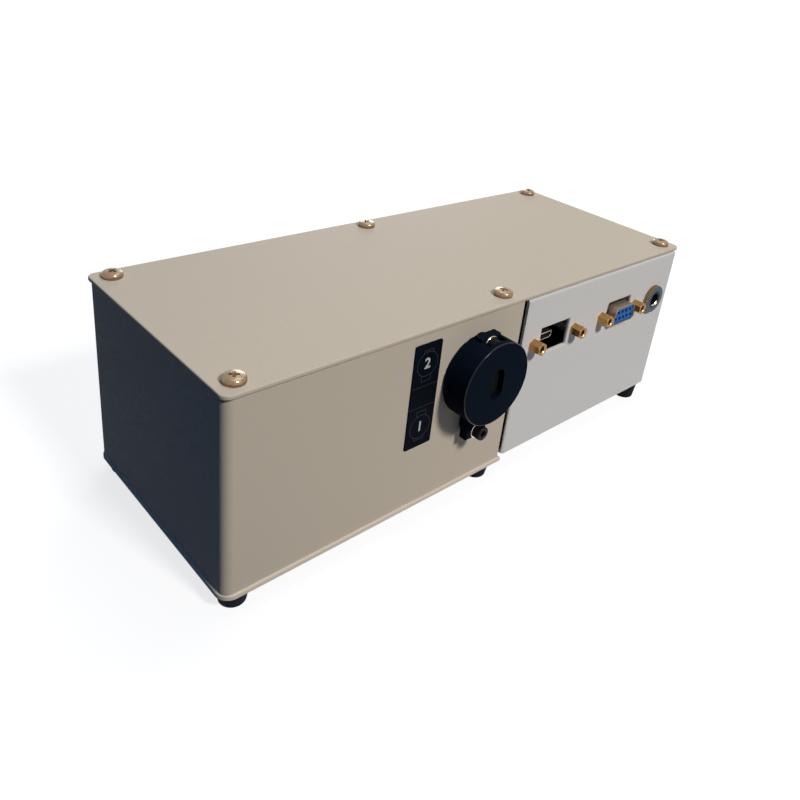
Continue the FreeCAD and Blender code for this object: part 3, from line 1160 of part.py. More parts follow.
def make_optics():
    """Bench with the crossed mirror and grating path, level with the entrance slit."""
    bench = new_body("optical_bench")
    outline = sketch_on(bench, "XY_Plane")
    draw_centred(outline, BENCH_LENGTH, f"2 * {BENCH_SIDE}")
    pad(bench, outline, "Sizes.bench_gauge")
    notch_x = f"(-{POST_X} - {BENCH_CENTRE} + Sizes.nut_diameter / 2 + Sizes.bench_clearance)"
    notch_y = f"({POST_Y} - Sizes.nut_diameter / 2 - Sizes.bench_clearance)"
    for low, high in (("-Sizes.lid_width", f"-{notch_y}"), (notch_y, "Sizes.lid_width")):
        corner = sketch_on(bench, "XY_Plane")
        draw_rectangle(corner, "-Sizes.lid_length", notch_x, low, high)
        pocket(bench, corner, "Sizes.bench_gauge", backwards=True)
    holes = [(f"{x} - {BENCH_CENTRE}", y) for x, y in bench_screw_places()]
    drill(bench, "XY_Plane", SMALL_BORE, holes, "Sizes.bench_gauge", backwards=True)
    finish(bench, BENCH_CENTRE, "0", FLOOR)
    small_screws("bench_screws", BENCH_TOP, [(x, y, BENCH_TOP) for x, y in bench_screw_places()])

    path = list(OPTIC_PLACES)
    points = [FreeCAD.Vector(measure(x), measure(y), 0) for x, y in OPTIC_PLACES.values()]
    rim = "(Sizes.mirror_diameter / 2)"
    mirror = turned("mirror", [("0", "-Sizes.mirror_gauge"), (rim, "-Sizes.mirror_gauge"), (rim, "0"),
                               ("0", "0")])
    seat_bore = "(Sizes.mirror_diameter / 2 + Sizes.hole_clearance)"
    feet = []
    for index in range(1, len(path) - 1):
        optic_label = path[index]
        is_grating = optic_label == "diffraction_grating"
        turn = aim(points[index], points[index - 1], points[index + 1])
        rotation = FreeCAD.Rotation(FreeCAD.Vector(0, 0, 1), turn)
        x, y = OPTIC_PLACES[optic_label]
        seat_depth = "Sizes.mirror_gauge - Sizes.mount_seat"
        mount = new_body(f"{optic_label}_mount")
        back = f"-({seat_depth}) - Sizes.mount_gauge"
        block = sketch_on(mount, "XZ_Plane", lift=back)
        half = "Sizes.grating_mount_width / 2" if is_grating else "Sizes.mount_width / 2"
        rise = f"(Sizes.optical_height - {BENCH_TOP})"
        draw_rectangle(block, f"-{half}", half, f"-{rise}", half)
        pad(mount, block, "Sizes.mount_gauge")
        foot = sketch_on(mount, "XZ_Plane", lift=back)
        draw_rectangle(foot, f"-{half}", half, f"-{rise}", f"-{rise} + Sizes.mount_foot_height")
        pad(mount, foot, "Sizes.mount_foot")
        recess = sketch_on(mount, "XZ_Plane", lift=f"-({seat_depth})")
        if is_grating:
            draw_centred(recess, "Sizes.grating_width + 2 * Sizes.hole_clearance",
                         "Sizes.grating_width + 2 * Sizes.hole_clearance")
        else:
            draw_circle(recess, seat_bore)
        pocket(mount, recess, "Sizes.mount_seat")
        hole_y = f"(({seat_depth}) + (Sizes.mount_gauge - Sizes.mount_foot) / 2)"
        drill(mount, "XY_Plane", SMALL_BORE, [("0", hole_y)], "Sizes.mount_foot_height + 1",
              lift=f"-{rise} + Sizes.mount_foot_height")
        finish(mount, x, y, "Sizes.optical_height", rotation)
        if is_grating:
            optic = new_body(optic_label)
            outline = sketch_on(optic, "XZ_Plane")
            draw_centred(outline, "Sizes.grating_width", "Sizes.grating_width")
            pad(optic, outline, "Sizes.mirror_gauge", backwards=True)
            finish(optic, x, y, "Sizes.optical_height", rotation)
        else:
            finish_optic(optic_label, mirror, x, y, rotation)
        reach = measure(hole_y)
        feet.append((f"{x} - {reach * math.sin(math.radians(turn))}",
                     f"{y} + {reach * math.cos(math.radians(turn))}",
                     f"{BENCH_TOP} + Sizes.mount_foot_height"))
    small_screws("mount_screws", "Sizes.mount_foot_height", feet)

    board = new_body("detector_board")
    outline = sketch_on(board, "XZ_Plane")
    half_board = "(Sizes.detector_length / 2 + Sizes.detector_margin)"
    draw_rectangle(outline, f"-{half_board}", half_board, f"-(Sizes.optical_height - {BENCH_TOP})",
                   "Sizes.detector_height")
    pad(board, outline, "Sizes.board_gauge")
    detector_x, detector_y = OPTIC_PLACES["detector"]
    finish(board, detector_x, detector_y, "Sizes.optical_height")
    array = doc.addObject("Part::Box", "detector_array")
    array.Label = "detector_array"
    array.setExpression("Length", "Sizes.detector_length")
    array.setExpression("Width", "Sizes.detector_gauge")
    array.setExpression("Height", "Sizes.detector_height")
    finish(array, f"{detector_x} - Sizes.detector_length / 2", detector_y,
           "Sizes.optical_height - Sizes.detector_height / 2")
    baffle = doc.addObject("Part::Box", "light_baffle")
    baffle.Label = "light_baffle"
    baffle.setExpression("Length", "Sizes.baffle_gauge")
    baffle.setExpression("Width", "Sizes.baffle_length")
    baffle.setExpression("Height", "Sizes.baffle_height")
    finish(baffle, f"{SLIT_X} - Sizes.baffle_offset", f"Sizes.baffle_wall_gap - {WALL}", BENCH_TOP)


def finish_optic(label, master, x, y, rotation):
    """Place a copy of the round mirror, turned so that its face looks along -Y before it is aimed."""
    face = rotation.multiply(TURN_TO_FRONT)
    copy = doc.addObject("App::Link", f"{label}_blank")
    copy.LinkedObject = master
    seat(copy, x, y, "Sizes.optical_height", face)
    group = doc.addObject("Part::Compound", label)
    group.Label = label
    group.Links = [copy]
    nodes.append(group)


def check_model():
    """Stop if any object failed to build or any sub-part is empty or broken."""
    doc.recompute()
    for item in doc.Objects:
        if "Invalid" in item.State or "Error" in item.State:
            raise ValueError(f"{item.Name} failed: {item.State}")
    for item in nodes:
        if item.Shape.isNull() or not item.Shape.isValid():
            raise ValueError(f"{item.Label} has no valid shape")


def main():
    make_base_plate()
    make_housing_shell()
    make_connector_case()
    make_lid()
    make_corner_fasteners()
    make_divider()
    make_label()
    make_slide_rail()
    make_rail_fasteners()
    make_slit_head()
    make_slit_plate()
    make_plunger()
    make_standoffs()
    make_usb_socket()
    make_serial_socket()
    make_power_jack()
    make_main_board()
    make_optics()
    check_model()
    os.makedirs("parts", exist_ok=True)
    for item in nodes:
        item.Shape.exportStep(f"parts/{item.Label}.step")
    print(len(nodes), "sub-parts written")


main()
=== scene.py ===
"""Miniature spectrometer: its finishes, its detailed pieces, and the studio that it stands in."""

import json
import logging
import math
import random
from dataclasses import dataclass, replace
from enum import Enum
from typing import Callable, Sequence

import bmesh
import bpy
from mathutils import Euler, Matrix, Vector


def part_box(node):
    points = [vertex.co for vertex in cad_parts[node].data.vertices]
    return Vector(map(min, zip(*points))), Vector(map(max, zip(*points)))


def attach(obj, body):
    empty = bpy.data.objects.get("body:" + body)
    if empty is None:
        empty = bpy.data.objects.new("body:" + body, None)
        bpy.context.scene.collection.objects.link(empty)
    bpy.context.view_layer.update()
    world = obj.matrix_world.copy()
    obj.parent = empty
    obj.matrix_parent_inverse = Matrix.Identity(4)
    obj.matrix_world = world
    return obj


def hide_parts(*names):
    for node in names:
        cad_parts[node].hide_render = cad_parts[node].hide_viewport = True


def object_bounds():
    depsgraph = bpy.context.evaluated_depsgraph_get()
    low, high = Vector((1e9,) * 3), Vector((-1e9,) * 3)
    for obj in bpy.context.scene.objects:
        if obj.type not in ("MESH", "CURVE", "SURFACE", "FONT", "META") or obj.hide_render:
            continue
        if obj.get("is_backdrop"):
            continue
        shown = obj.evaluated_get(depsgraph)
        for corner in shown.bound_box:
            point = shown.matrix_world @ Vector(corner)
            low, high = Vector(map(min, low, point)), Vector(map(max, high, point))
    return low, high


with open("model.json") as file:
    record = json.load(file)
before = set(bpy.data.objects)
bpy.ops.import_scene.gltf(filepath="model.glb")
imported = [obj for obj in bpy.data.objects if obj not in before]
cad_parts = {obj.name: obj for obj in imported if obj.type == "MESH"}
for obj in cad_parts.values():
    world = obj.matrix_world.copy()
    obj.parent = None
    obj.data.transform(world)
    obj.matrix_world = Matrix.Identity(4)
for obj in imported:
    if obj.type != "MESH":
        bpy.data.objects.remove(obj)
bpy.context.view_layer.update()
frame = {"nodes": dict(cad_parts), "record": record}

log = logging.getLogger("spectrometer")

MM = 0.001
Point = tuple[float, float, float]
Colour = tuple[float, float, float]
Profile = Sequence[tuple[float, float]]
Piece = bpy.types.Object
Tree = bpy.types.NodeTree
Node = bpy.types.Node
Socket = bpy.types.NodeSocket
Test = Callable[[Vector, Vector], bool]

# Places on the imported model, in millimetres
WALL = -39.65
SHEET = 1.2
LID_TOP = 79.5
POSTS = tuple((x, y) for x in (-109.2, 1.3, 109.2) for y in (-34.25, 44.75))
SLIT_X = -14.8
RAIL_ROW = 50.8
RAIL_FRONT = WALL - 5.3
RAIL_SCREW = 17.9
HEAD_ROW = 55.2
SOCKET_ROW = 56.4
CASE_LEFT = 11.0
DATA_X = 31.1
DATA_PITCH = 26.0
SERIAL_X = 75.8
SERIAL_PITCH = 24.99
POWER_X = 102.6
LABEL_X = -40.1
LABEL_ROW = 53.6
STUDS = tuple((centre + side * pitch / 2, WALL, SOCKET_ROW)
              for centre, pitch in ((DATA_X, DATA_PITCH), (SERIAL_X, SERIAL_PITCH)) for side in (-1.0, 1.0))
NEAR = 0.02
WELD = 0.002
WAVES = 20.0


class Facing(Enum):
    """Directions that a piece built about its own Z axis can be turned to."""

    UP = (0.0, 0.0, 0.0)
    FRONT = (math.pi / 2, 0.0, 0.0)
    LEFT = (0.0, -math.pi / 2, 0.0)


class Body(Enum):
    """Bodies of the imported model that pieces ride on."""

    CASE = "case"
    SLIDE = "slit_slide"


# Finishes


@dataclass(frozen=True)
class Finish:
    """A surface finish with patches of shade, a fine grain and an uneven gloss.

    Sizes are in millimetres on the object. The grain is stretched by a factor along each axis.
    """

    name: str
    colour: Colour
    metallic: float = 0.0
    roughness: float = 0.6
    unevenness: float = 0.08
    specular: float = 0.5
    shade: float = 0.25
    patch: float = 1.0
    grain: float = 0.3
    depth: float = 0.01
    stretch: Point = (1.0, 1.0, 1.0)

    def build(self) -> bpy.types.Material:
        """Make the material.

        Returns:
            The new material, ready to be given to a piece.
        """
        material = bpy.data.materials.new(self.name)
        material.use_nodes = True
        material.diffuse_color = (*self.colour, 1.0)
        tree = material.node_tree
        shader = tree.nodes["Principled BSDF"]
        shader.inputs["Metallic"].default_value = self.metallic
        shader.inputs["Specular IOR Level"].default_value = self.specular
        place = tree.nodes.new("ShaderNodeTexCoord").outputs["Object"]
        tree.links.new(self.tone(tree, place), shader.inputs["Base Color"])
        self.texture(tree, shader, place)
        return material

    def tone(self, tree: Tree, place: Socket) -> Socket:
        """Colour the surface in soft patches, a little lighter and darker than its colour.

        Args:
            tree: The material's nodes.
            place: The socket that gives a point's place on the object.

        Returns:
            The socket that gives the colour.
        """
        patches = noise(tree, place, self.patch, detail=4.0)
        return blend_colours(tree, patches, scaled(self.colour, 1.0 - self.shade),
                             scaled(self.colour, 1.0 + self.shade))

    def texture(self, tree: Tree, shader: Node, place: Socket) -> None:
        """Give the surface its grain and its uneven gloss.

        Args:
            tree: The material's nodes.
            shader: The material's surface shader.
            place: The socket that gives a point's place on the object.
        """
        grain = noise(tree, mapped(tree, place, self.stretch), self.grain, detail=3.0)
        gloss = ranged(tree, grain, self.roughness - self.unevenness, self.roughness + self.unevenness)
        tree.links.new(gloss, shader.inputs["Roughness"])
        tree.links.new(bumped(tree, grain, self.depth), shader.inputs["Normal"])


@dataclass(frozen=True)
class PowderCoat(Finish):
    """Sprayed powder paint: an orange-peel surface with tiny darker specks."""

    speck: float = 0.9
    speck_shade: float = 0.93

    def tone(self, tree: Tree, place: Socket) -> Socket:
        """Colour the paint in soft patches with fine specks over them."""
        specks = ranged(tree, noise(tree, place, self.speck, detail=2.0), 0.0, 1.0, low=0.62, high=0.75)
        return blend_colours(tree, specks, super().tone(tree, place), scaled(self.colour, self.speck_shade))


@dataclass(frozen=True)
class RuledFinish(Finish):
    """A surface with fine parallel lines, as on a grating."""

    pitch: float = 0.2

    def texture(self, tree: Tree, shader: Node, place: Socket) -> None:
        """Rule the lines as a fine wave in the surface.

        Args:
            tree: The material's nodes.
            shader: The material's surface shader.
            place: The socket that gives a point's place on the object.
        """
        inputs = {"Scale": 1.0 / (self.pitch * MM * WAVES), "Vector": place}
        lines = add_node(tree, "ShaderNodeTexWave", inputs).outputs["Fac"]
        gloss = ranged(tree, lines, self.roughness, self.roughness + self.unevenness)
        tree.links.new(gloss, shader.inputs["Roughness"])
        tree.links.new(bumped(tree, lines, self.depth), shader.inputs["Normal"])


@dataclass(frozen=True)
class BoardFinish(Finish):
    """Circuit board: solder mask over copper tracks that show as lighter lines."""

    track_colour: Colour = (0.05, 0.3, 0.14)
    track: float = 4.0

    def tone(self, tree: Tree, place: Socket) -> Socket:
        """Colour the mask with a web of tracks.

        Args:
            tree: The material's nodes.
            place: The socket that gives a point's place on the object.

        Returns:
            The socket that gives the colour.
        """
        inputs = {"Scale": 1.0 / (self.track * MM), "Vector": place}
        cells = add_node(tree, "ShaderNodeTexVoronoi", inputs, feature="DISTANCE_TO_EDGE")
        tracks = ranged(tree, cells.outputs["Distance"], 1.0, 0.0, low=0.04, high=0.09)
        return blend_colours(tree, tracks, self.colour, self.track_colour)


def scaled(colour: Colour, factor: float) -> Colour:
    """Return a colour made lighter or darker by a factor."""
    return tuple(min(1.0, channel * factor) for channel in colour)


def add_node(tree: Tree, kind: str, inputs: dict[str | int, object], **settings: object) -> Node:
    """Add a node and set it up.

    Args:
        tree: The nodes that it joins.
        kind: Its type.
        inputs: For an input's name or number, the socket to link to it or its value.
        settings: The node's own options.

    Returns:
        The node.
    """
    node = tree.nodes.new(kind)
    for name, value in settings.items():
        setattr(node, name, value)
    for name, value in inputs.items():
        if isinstance(value, Socket):
            tree.links.new(value, node.inputs[name])
        else:
            node.inputs[name].default_value = value
    return node


def mapped(tree: Tree, place: Socket, stretch: Point) -> Socket:
    """Return the place with each axis stretched by its factor."""
    return add_node(tree, "ShaderNodeMapping", {"Scale": stretch, "Vector": place}).outputs["Vector"]


def noise(tree: Tree, place: Socket, size: float, detail: float) -> Socket:
    """Return a noise whose features measure about a size in millimetres."""
    inputs = {"Scale": 1.0 / (size * MM), "Detail": detail, "Vector": place}
    return add_node(tree, "ShaderNodeTexNoise", inputs).outputs["Fac"]


def ranged(tree: Tree, value: Socket, first: float, last: float, low: float = 0.3,
           high: float = 0.7) -> Socket:
    """Return a value carried from the span low to high to the span first to last."""
    inputs = {"From Min": low, "From Max": high, "To Min": first, "To Max": last, "Value": value}
    return add_node(tree, "ShaderNodeMapRange", inputs).outputs["Result"]


def blend_colours(tree: Tree, factor: Socket, first: Colour | Socket, second: Colour) -> Socket:
    """Return a mix of two colours, the first given as a value or as a socket, by a factor."""
    inputs = {"Factor": factor, "A": first if isinstance(first, Socket) else (*first, 1.0),
              "B": (*second, 1.0)}
    return add_node(tree, "ShaderNodeMix", inputs, data_type="RGBA").outputs["Result"]


def bumped(tree: Tree, height: Socket, depth: float) -> Socket:
    """Return a normal that raises the surface by a depth in millimetres where the height is high."""
    inputs = {"Strength": 1.0, "Distance": depth * MM, "Height": height}
    return add_node(tree, "ShaderNodeBump", inputs).outputs["Normal"]


WARM_PAINT = PowderCoat("warm_powder_paint", (0.60, 0.52, 0.41), roughness=0.55, specular=0.02, shade=0.012,
                        patch=50.0, grain=1.1, depth=0.03)
PALE_PAINT = replace(WARM_PAINT, name="pale_powder_paint", colour=(0.71, 0.69, 0.65))
BASE_PAINT = replace(WARM_PAINT, name="base_powder_paint", colour=(0.74, 0.655, 0.54))
# Nickel for the lid screws and the jack ring; also a gold-toned painted highlight on the serial shell's front
# rim
NICKEL = Finish("worn_nickel_and_painted_rim_highlight", (0.30, 0.205, 0.125), metallic=0.65, roughness=0.26, unevenness=0.12,
                shade=0.35, patch=1.4, grain=0.4, depth=0.03)
# Bright nickel for the washers and the pin; also a painted highlight on the data socket's rim and the jack's
# mouth
BRIGHT_NICKEL_AND_HIGHLIGHT = Finish("bright_nickel_and_painted_highlight", (0.72, 0.62, 0.52), metallic=1.0, roughness=0.22, shade=0.12)
# Painted reflection: dark navy nickel for the jack ring's front face, which reflects dark surroundings
PAINTED_REFLECTION_NICKEL = Finish("painted_reflection_nickel", (0.018, 0.045, 0.07), metallic=0.6, roughness=0.3, unevenness=0.06,
                     specular=0.2, shade=0.15, patch=2.0, grain=0.4, depth=0.006)
STEEL = Finish("plated_steel", (0.62, 0.61, 0.58), metallic=1.0, roughness=0.35, shade=0.08, patch=3.0,
               grain=0.4)
RUBBER = Finish("black_rubber", (0.010, 0.012, 0.017), roughness=0.75, specular=0.08, patch=4.0, grain=0.5,
                depth=0.03)
ALUMINIUM = Finish("bare_aluminium", (0.7, 0.71, 0.72), metallic=1.0, roughness=0.38, shade=0.06, patch=30.0,
                   stretch=(1.0, 1.0, 0.05))
FILM = Finish("label_film", (0.0034, 0.0055, 0.0095), roughness=0.5, specular=0.008, patch=12.0, grain=0.5,
              depth=0.006)
ANODISED = Finish("black_anodised", (0.0040, 0.0076, 0.0150), roughness=0.5, specular=0.005, shade=0.18,
                  patch=8.0, grain=0.35, depth=0.012)
POLISHED_RIM = Finish("polished_rim", (0.005, 0.005, 0.006), roughness=0.2, unevenness=0.02, specular=0.22,
                      shade=0.1, patch=4.0, grain=0.6, depth=0.0)
BLACK_STEEL = Finish("black_steel", (0.006, 0.006, 0.008), roughness=0.38, specular=0.07, shade=0.3)
SLIT_FOIL = Finish("slit_foil", (0.004, 0.004, 0.0045), specular=0.06, shade=0.15, patch=2.0, grain=0.2,
                   depth=0.005)
SPRING_WIRE = Finish("spring_wire", (0.6, 0.6, 0.6), metallic=1.0, roughness=0.3, shade=0.06, grain=0.2,
                     depth=0.005)
GOLD = Finish("gold_brass", (0.50, 0.27, 0.09), metallic=0.65, roughness=0.24, shade=0.2, patch=1.4,
              depth=0.015)
# Painted shade: a darker copy of the brass for the standoffs' front end faces
PAINTED_SHADE_END_GOLD = Finish("painted_shade_end_brass", (0.30, 0.15, 0.048), metallic=0.6, roughness=0.3, depth=0.015)
# Painted shade: a dark copy of the brass for the inside of the standoffs' bores
PAINTED_SHADE_BRASS = Finish("painted_shade_brass", (0.07, 0.03, 0.012), metallic=0.3, roughness=0.4, specular=0.1,
                   depth=0.015)
TIN = Finish("tinned_shell", (0.34, 0.27, 0.20), metallic=0.6, roughness=0.34, unevenness=0.1, shade=0.22,
             patch=2.5, grain=0.5, depth=0.015)
# Painted shade: a dark copy of the tinned shell, for shell faces that sit in shade
PAINTED_SHADE_TIN = Finish("painted_shade_shell", (0.030, 0.026, 0.022), metallic=0.2, roughness=0.45, specular=0.06,
                    patch=2.0, grain=0.4, depth=0.015)
BLACK_PLASTIC = Finish("black_plastic", (0.006, 0.006, 0.007), roughness=0.45, specular=0.12, shade=0.2,
                       patch=2.0)
BLUE_PLASTIC = Finish("blue_plastic", (0.008, 0.110, 0.37), roughness=0.45, specular=0.12, shade=0.08,
                      patch=2.0, depth=0.008)
BOARD = BoardFinish("circuit_board", (0.012, 0.12, 0.05), roughness=0.35, shade=0.06, patch=6.0, grain=0.5)
BLACK_BOARD = BoardFinish("black_circuit_board", (0.0035, 0.0035, 0.004), roughness=0.5, specular=0.03,
                          shade=0.06, patch=6.0, grain=0.5, track_colour=(0.009, 0.009, 0.010))
# Painted shade: black for the divider wall, so that the seam in front of it reads as deep shadow
PAINTED_SHADE_SHEET = Finish("painted_shade_sheet", (0.006, 0.006, 0.006), roughness=0.7, specular=0.05, shade=0.2,
                     patch=10.0, grain=0.6, depth=0.02)
EPOXY = Finish("chip_epoxy", (0.02, 0.02, 0.023), shade=0.06, patch=3.0, grain=0.2, depth=0.008)
MIRROR = Finish("mirror_glass", (0.9, 0.9, 0.92), metallic=1.0, roughness=0.04, unevenness=0.01, shade=0.01,
                patch=30.0, grain=2.0, depth=0.0005)
GRATING = RuledFinish("grating_glass", (0.75, 0.8, 0.85), metallic=1.0, roughness=0.12, shade=0.05,
                      patch=10.0, grain=0.6, depth=0.005)
PRINT_INK = Finish("print_ink", (0.56, 0.53, 0.49), specular=0.06, shade=0.15, patch=0.5, depth=0.005)
FAINT_INK = Finish("faint_ink", (0.040, 0.044, 0.050), specular=0.06, shade=0.3, patch=0.8, depth=0.005)

SLOT_FINISHES = {
    "enclosure_paint": WARM_PAINT, "panel_paint": PALE_PAINT, "plated_steel": STEEL,
    "black_rubber": RUBBER, "bare_aluminium": ALUMINIUM, "label_film": FILM,
    "black_anodised": ANODISED, "black_steel": BLACK_STEEL, "slit_foil": SLIT_FOIL,
    "spring_wire": SPRING_WIRE, "gold_brass": GOLD, "tinned_shell": TIN,
    "black_plastic": BLACK_PLASTIC, "blue_plastic": BLUE_PLASTIC, "circuit_board": BOARD,
    "chip_epoxy": EPOXY, "mirror_glass": MIRROR, "grating_glass": GRATING,
}
# The divider wall, seen through the seam, gets black painted shade
NODE_FINISHES = {"lid_screws": NICKEL, "rail_washers": BRIGHT_NICKEL_AND_HIGHLIGHT, "divider_wall": PAINTED_SHADE_SHEET,
                 "usb_board": BLACK_BOARD, "base_plate": BASE_PAINT}


class Paintbox:
    """Builds each finish once and gives it to pieces."""

    def __init__(self) -> None:
        """Start with no finish built."""
        self.built: dict[str, bpy.types.Material] = {}

    def material(self, finish: Finish) -> bpy.types.Material:
        """Return the finish's material, built the first time."""
        if finish.name not in self.built:
            self.built[finish.name] = finish.build()
        return self.built[finish.name]

    def paint(self, piece: Piece, finish: Finish) -> None:
        """Cover a piece with one finish."""
        piece.data.materials.clear()
        piece.data.materials.append(self.material(finish))

    def paint_frame(self) -> None:
        """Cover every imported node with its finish."""
        for node in slot_of_node:
            self.paint(frame["nodes"][node], finish_of(node))


paintbox = Paintbox()
slot_of_node = {subpart["node"]: subpart["material_slot"] for subpart in frame["record"]["subparts"]}


def finish_of(node: str) -> Finish:
    """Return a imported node's own finish or else its slot's."""
    return NODE_FINISHES.get(node, SLOT_FINISHES[slot_of_node[node]])


# Modelling by hand, one operator at a time


def deselect() -> None:
    """Leave edit mode and select nothing."""
    if bpy.context.object is not None and bpy.context.object.mode == "EDIT":
        bpy.ops.object.mode_set(mode="OBJECT")
    bpy.ops.object.select_all(action="DESELECT")


def pick(piece: Piece) -> None:
    """Select one piece and make it active.

    Args:
        piece: The piece.
    """
    deselect()
    piece.select_set(True)
    bpy.context.view_layer.objects.active = piece


def latest(name: str) -> Piece:
    """Name the object that an operator has just added and return it.

    Args:
        name: Its new name.

    Returns:
        The object.
    """
    piece = bpy.context.view_layer.objects.active
    piece.name = name
    piece.data.name = name
    return piece


def edit(piece: Piece, mode: str = "FACE") -> None:
    """Enter edit mode on one piece with nothing selected.

    Args:
        piece: The piece to edit.
        mode: VERT, EDGE or FACE, the kind of element that is selected.
    """
    pick(piece)
    bpy.ops.object.mode_set(mode="EDIT")
    bpy.ops.mesh.select_mode(type=mode)
    bpy.ops.mesh.select_all(action="DESELECT")


def leave() -> None:
    """Leave edit mode."""
    bpy.ops.object.mode_set(mode="OBJECT")


def choose_faces(piece: Piece, test: Test) -> None:
    """Select the faces of a piece in edit mode whose centre and normal pass a test.

    Args:
        piece: The piece, in edit mode.
        test: Takes a face's centre and its normal.
    """
    mesh = bmesh.from_edit_mesh(piece.data)
    for face in mesh.faces:
        if test(face.calc_center_median(), face.normal):
            face.select_set(True)
    bmesh.update_edit_mesh(piece.data)


def round_edges(piece: Piece, width: float, segments: int, test: Test) -> None:
    """Round the edges of a piece that pass a test.

    Args:
        piece: The piece.
        width: How far the rounding reaches from each edge, in millimetres.
        segments: How many flats stand for it.
        test: Takes the places of an edge's two ends.
    """
    edit(piece, "EDGE")
    mesh = bmesh.from_edit_mesh(piece.data)
    for edge in mesh.edges:
        if test(edge.verts[0].co, edge.verts[1].co):
            edge.select_set(True)
    bmesh.update_edit_mesh(piece.data)
    bpy.ops.mesh.bevel(offset=width * MM, segments=segments, affect="EDGES")
    leave()


def add_block(name: str, low: Point, high: Point) -> Piece:
    """Add a box between two corners, given in millimetres.

    Args:
        name: The box's name.
        low: The corner with the lowest coordinates.
        high: The corner with the highest coordinates.

    Returns:
        The box.
    """
    deselect()
    centre = [(a + b) / 2 * MM for a, b in zip(low, high)]
    size = [(b - a) * MM for a, b in zip(low, high)]
    bpy.ops.mesh.primitive_cube_add(size=1.0, location=centre)
    piece = latest(name)
    piece.scale = size
    bpy.ops.object.transform_apply(location=True, rotation=True, scale=True)
    return piece


def add_turned(name: str, profile: Profile, steps: int = 48) -> Piece:
    """Turn a piece about the Z axis from an outline of radius and height, in millimetres.

    Args:
        name: The piece's name.
        profile: Points of the outline, from the axis or an inner wall round to where it ends.
        steps: How many flats the turned piece has round its axis.

    Returns:
        The turned piece, with its axis on the world's Z axis.
    """
    deselect()
    bpy.ops.mesh.primitive_plane_add(size=MM)
    piece = latest(name)
    bpy.ops.object.mode_set(mode="EDIT")
    bpy.ops.mesh.select_mode(type="VERT")
    bpy.ops.mesh.select_all(action="SELECT")
    bpy.ops.mesh.merge(type="CENTER")
    radius, height = profile[0]
    bpy.ops.transform.translate(value=(radius * MM, 0.0, height * MM))
    for (near, below), (far, above) in zip(profile, profile[1:]):
        bpy.ops.mesh.extrude_region_move(
            TRANSFORM_OT_translate={"value": ((far - near) * MM, 0.0, (above - below) * MM)})
    bpy.ops.mesh.select_all(action="SELECT")
    bpy.ops.mesh.spin(steps=steps, angle=2 * math.pi, center=(0.0, 0.0, 0.0), axis=(0.0, 0.0, 1.0))
    bpy.ops.mesh.select_all(action="SELECT")
    bpy.ops.mesh.remove_doubles(threshold=WELD * MM)
    bpy.ops.mesh.normals_make_consistent(inside=False)
    leave()
    return piece


def arc(centre: tuple[float, float], radius: float, first: float, last: float,
        steps: int = 5) -> list[tuple[float, float]]:
    """Return points along an arc of a turned outline.

    Args:
        centre: The arc's centre, as radius and height in millimetres.
        radius: The arc's own radius in millimetres.
        first: Angle of its start in degrees, from the outward direction towards up.
        last: Angle of its end in degrees.
        steps: How many straight steps stand for it.

    Returns:
        The points, both ends among them.
    """
    angles = [math.radians(first + (last - first) * step / steps) for step in range(steps + 1)]
    return [(centre[0] + radius * math.cos(angle), centre[1] + radius * math.sin(angle)) for angle in angles]


def add_prism(name: str, sides: int, radius: float, low: float, high: float) -> Piece:
    """Add an upright prism about the Z axis, given in millimetres, with a corner towards +Y.

    Args:
        name: The prism's name.
        sides: How many flats it has.
        radius: Distance of its corners from the axis.
        low: Height of its foot.
        high: Height of its top.

    Returns:
        The prism.
    """
    deselect()
    bpy.ops.mesh.primitive_cylinder_add(vertices=sides, radius=radius * MM, depth=(high - low) * MM,
                                        location=(0.0, 0.0, (low + high) / 2 * MM))
    piece = latest(name)
    bpy.ops.object.transform_apply(location=True, rotation=True, scale=True)
    return piece


def add_knurled(name: str, ribs: int, radius: float, depth: float, low: float, high: float) -> Piece:
    """Add an upright knurled cylinder about the Z axis.

    Args:
        name: The piece's name.
        ribs: How many ribs run round it.
        radius: Radius over the ribs in millimetres.
        depth: Depth of the grooves in millimetres.
        low: Height of its foot in millimetres.
        high: Height of its top in millimetres.

    Returns:
        The knurled cylinder, its ribs rounded.
    """
    piece = add_prism(name, 2 * ribs, radius, low, high)
    edit(piece, "VERT")
    mesh = bmesh.from_edit_mesh(piece.data)
    for vertex in mesh.verts:
        turn = math.atan2(vertex.co.x, vertex.co.y) / (math.pi / ribs)
        vertex.select_set(round(turn) % 2 == 1)
    mesh.select_flush(True)
    bmesh.update_edit_mesh(piece.data)
    share = 1.0 - depth / radius
    bpy.ops.transform.resize(value=(share, share, 1.0), center_override=(0.0, 0.0, 0.0))
    leave()
    round_edges(piece, depth / 2, 2, upright)
    return piece


def upright(first: Vector, second: Vector) -> bool:
    """Tell if an edge runs along Z, from its two ends."""
    return abs(first.x - second.x) + abs(first.y - second.y) < MM * 0.001


def add_d_block(name: str, width: float, height: float, low: float, high: float, corner: float) -> Piece:
    """Add a D-shaped block along Z: its long side towards -Y, its ends sloping by ten degrees.

    Args:
        name: The piece's name.
        width: Its longest width in millimetres.
        height: Its height across Y in millimetres.
        low: Where it starts along Z in millimetres.
        high: Where it ends along Z in millimetres.
        corner: Radius of its four corners in millimetres.

    Returns:
        The block.
    """
    half = height / 2
    piece = add_block(name, (-width / 2, -half, low), (width / 2, half, high))
    edit(piece)
    choose_faces(piece, lambda centre, normal: normal.y > 0.9)
    share = 1.0 - 2 * height * math.tan(math.radians(10.0)) / width
    bpy.ops.transform.resize(value=(share, 1.0, 1.0), center_override=(0.0, half * MM, 0.0))
    leave()
    round_edges(piece, corner, 6, upright)
    return piece


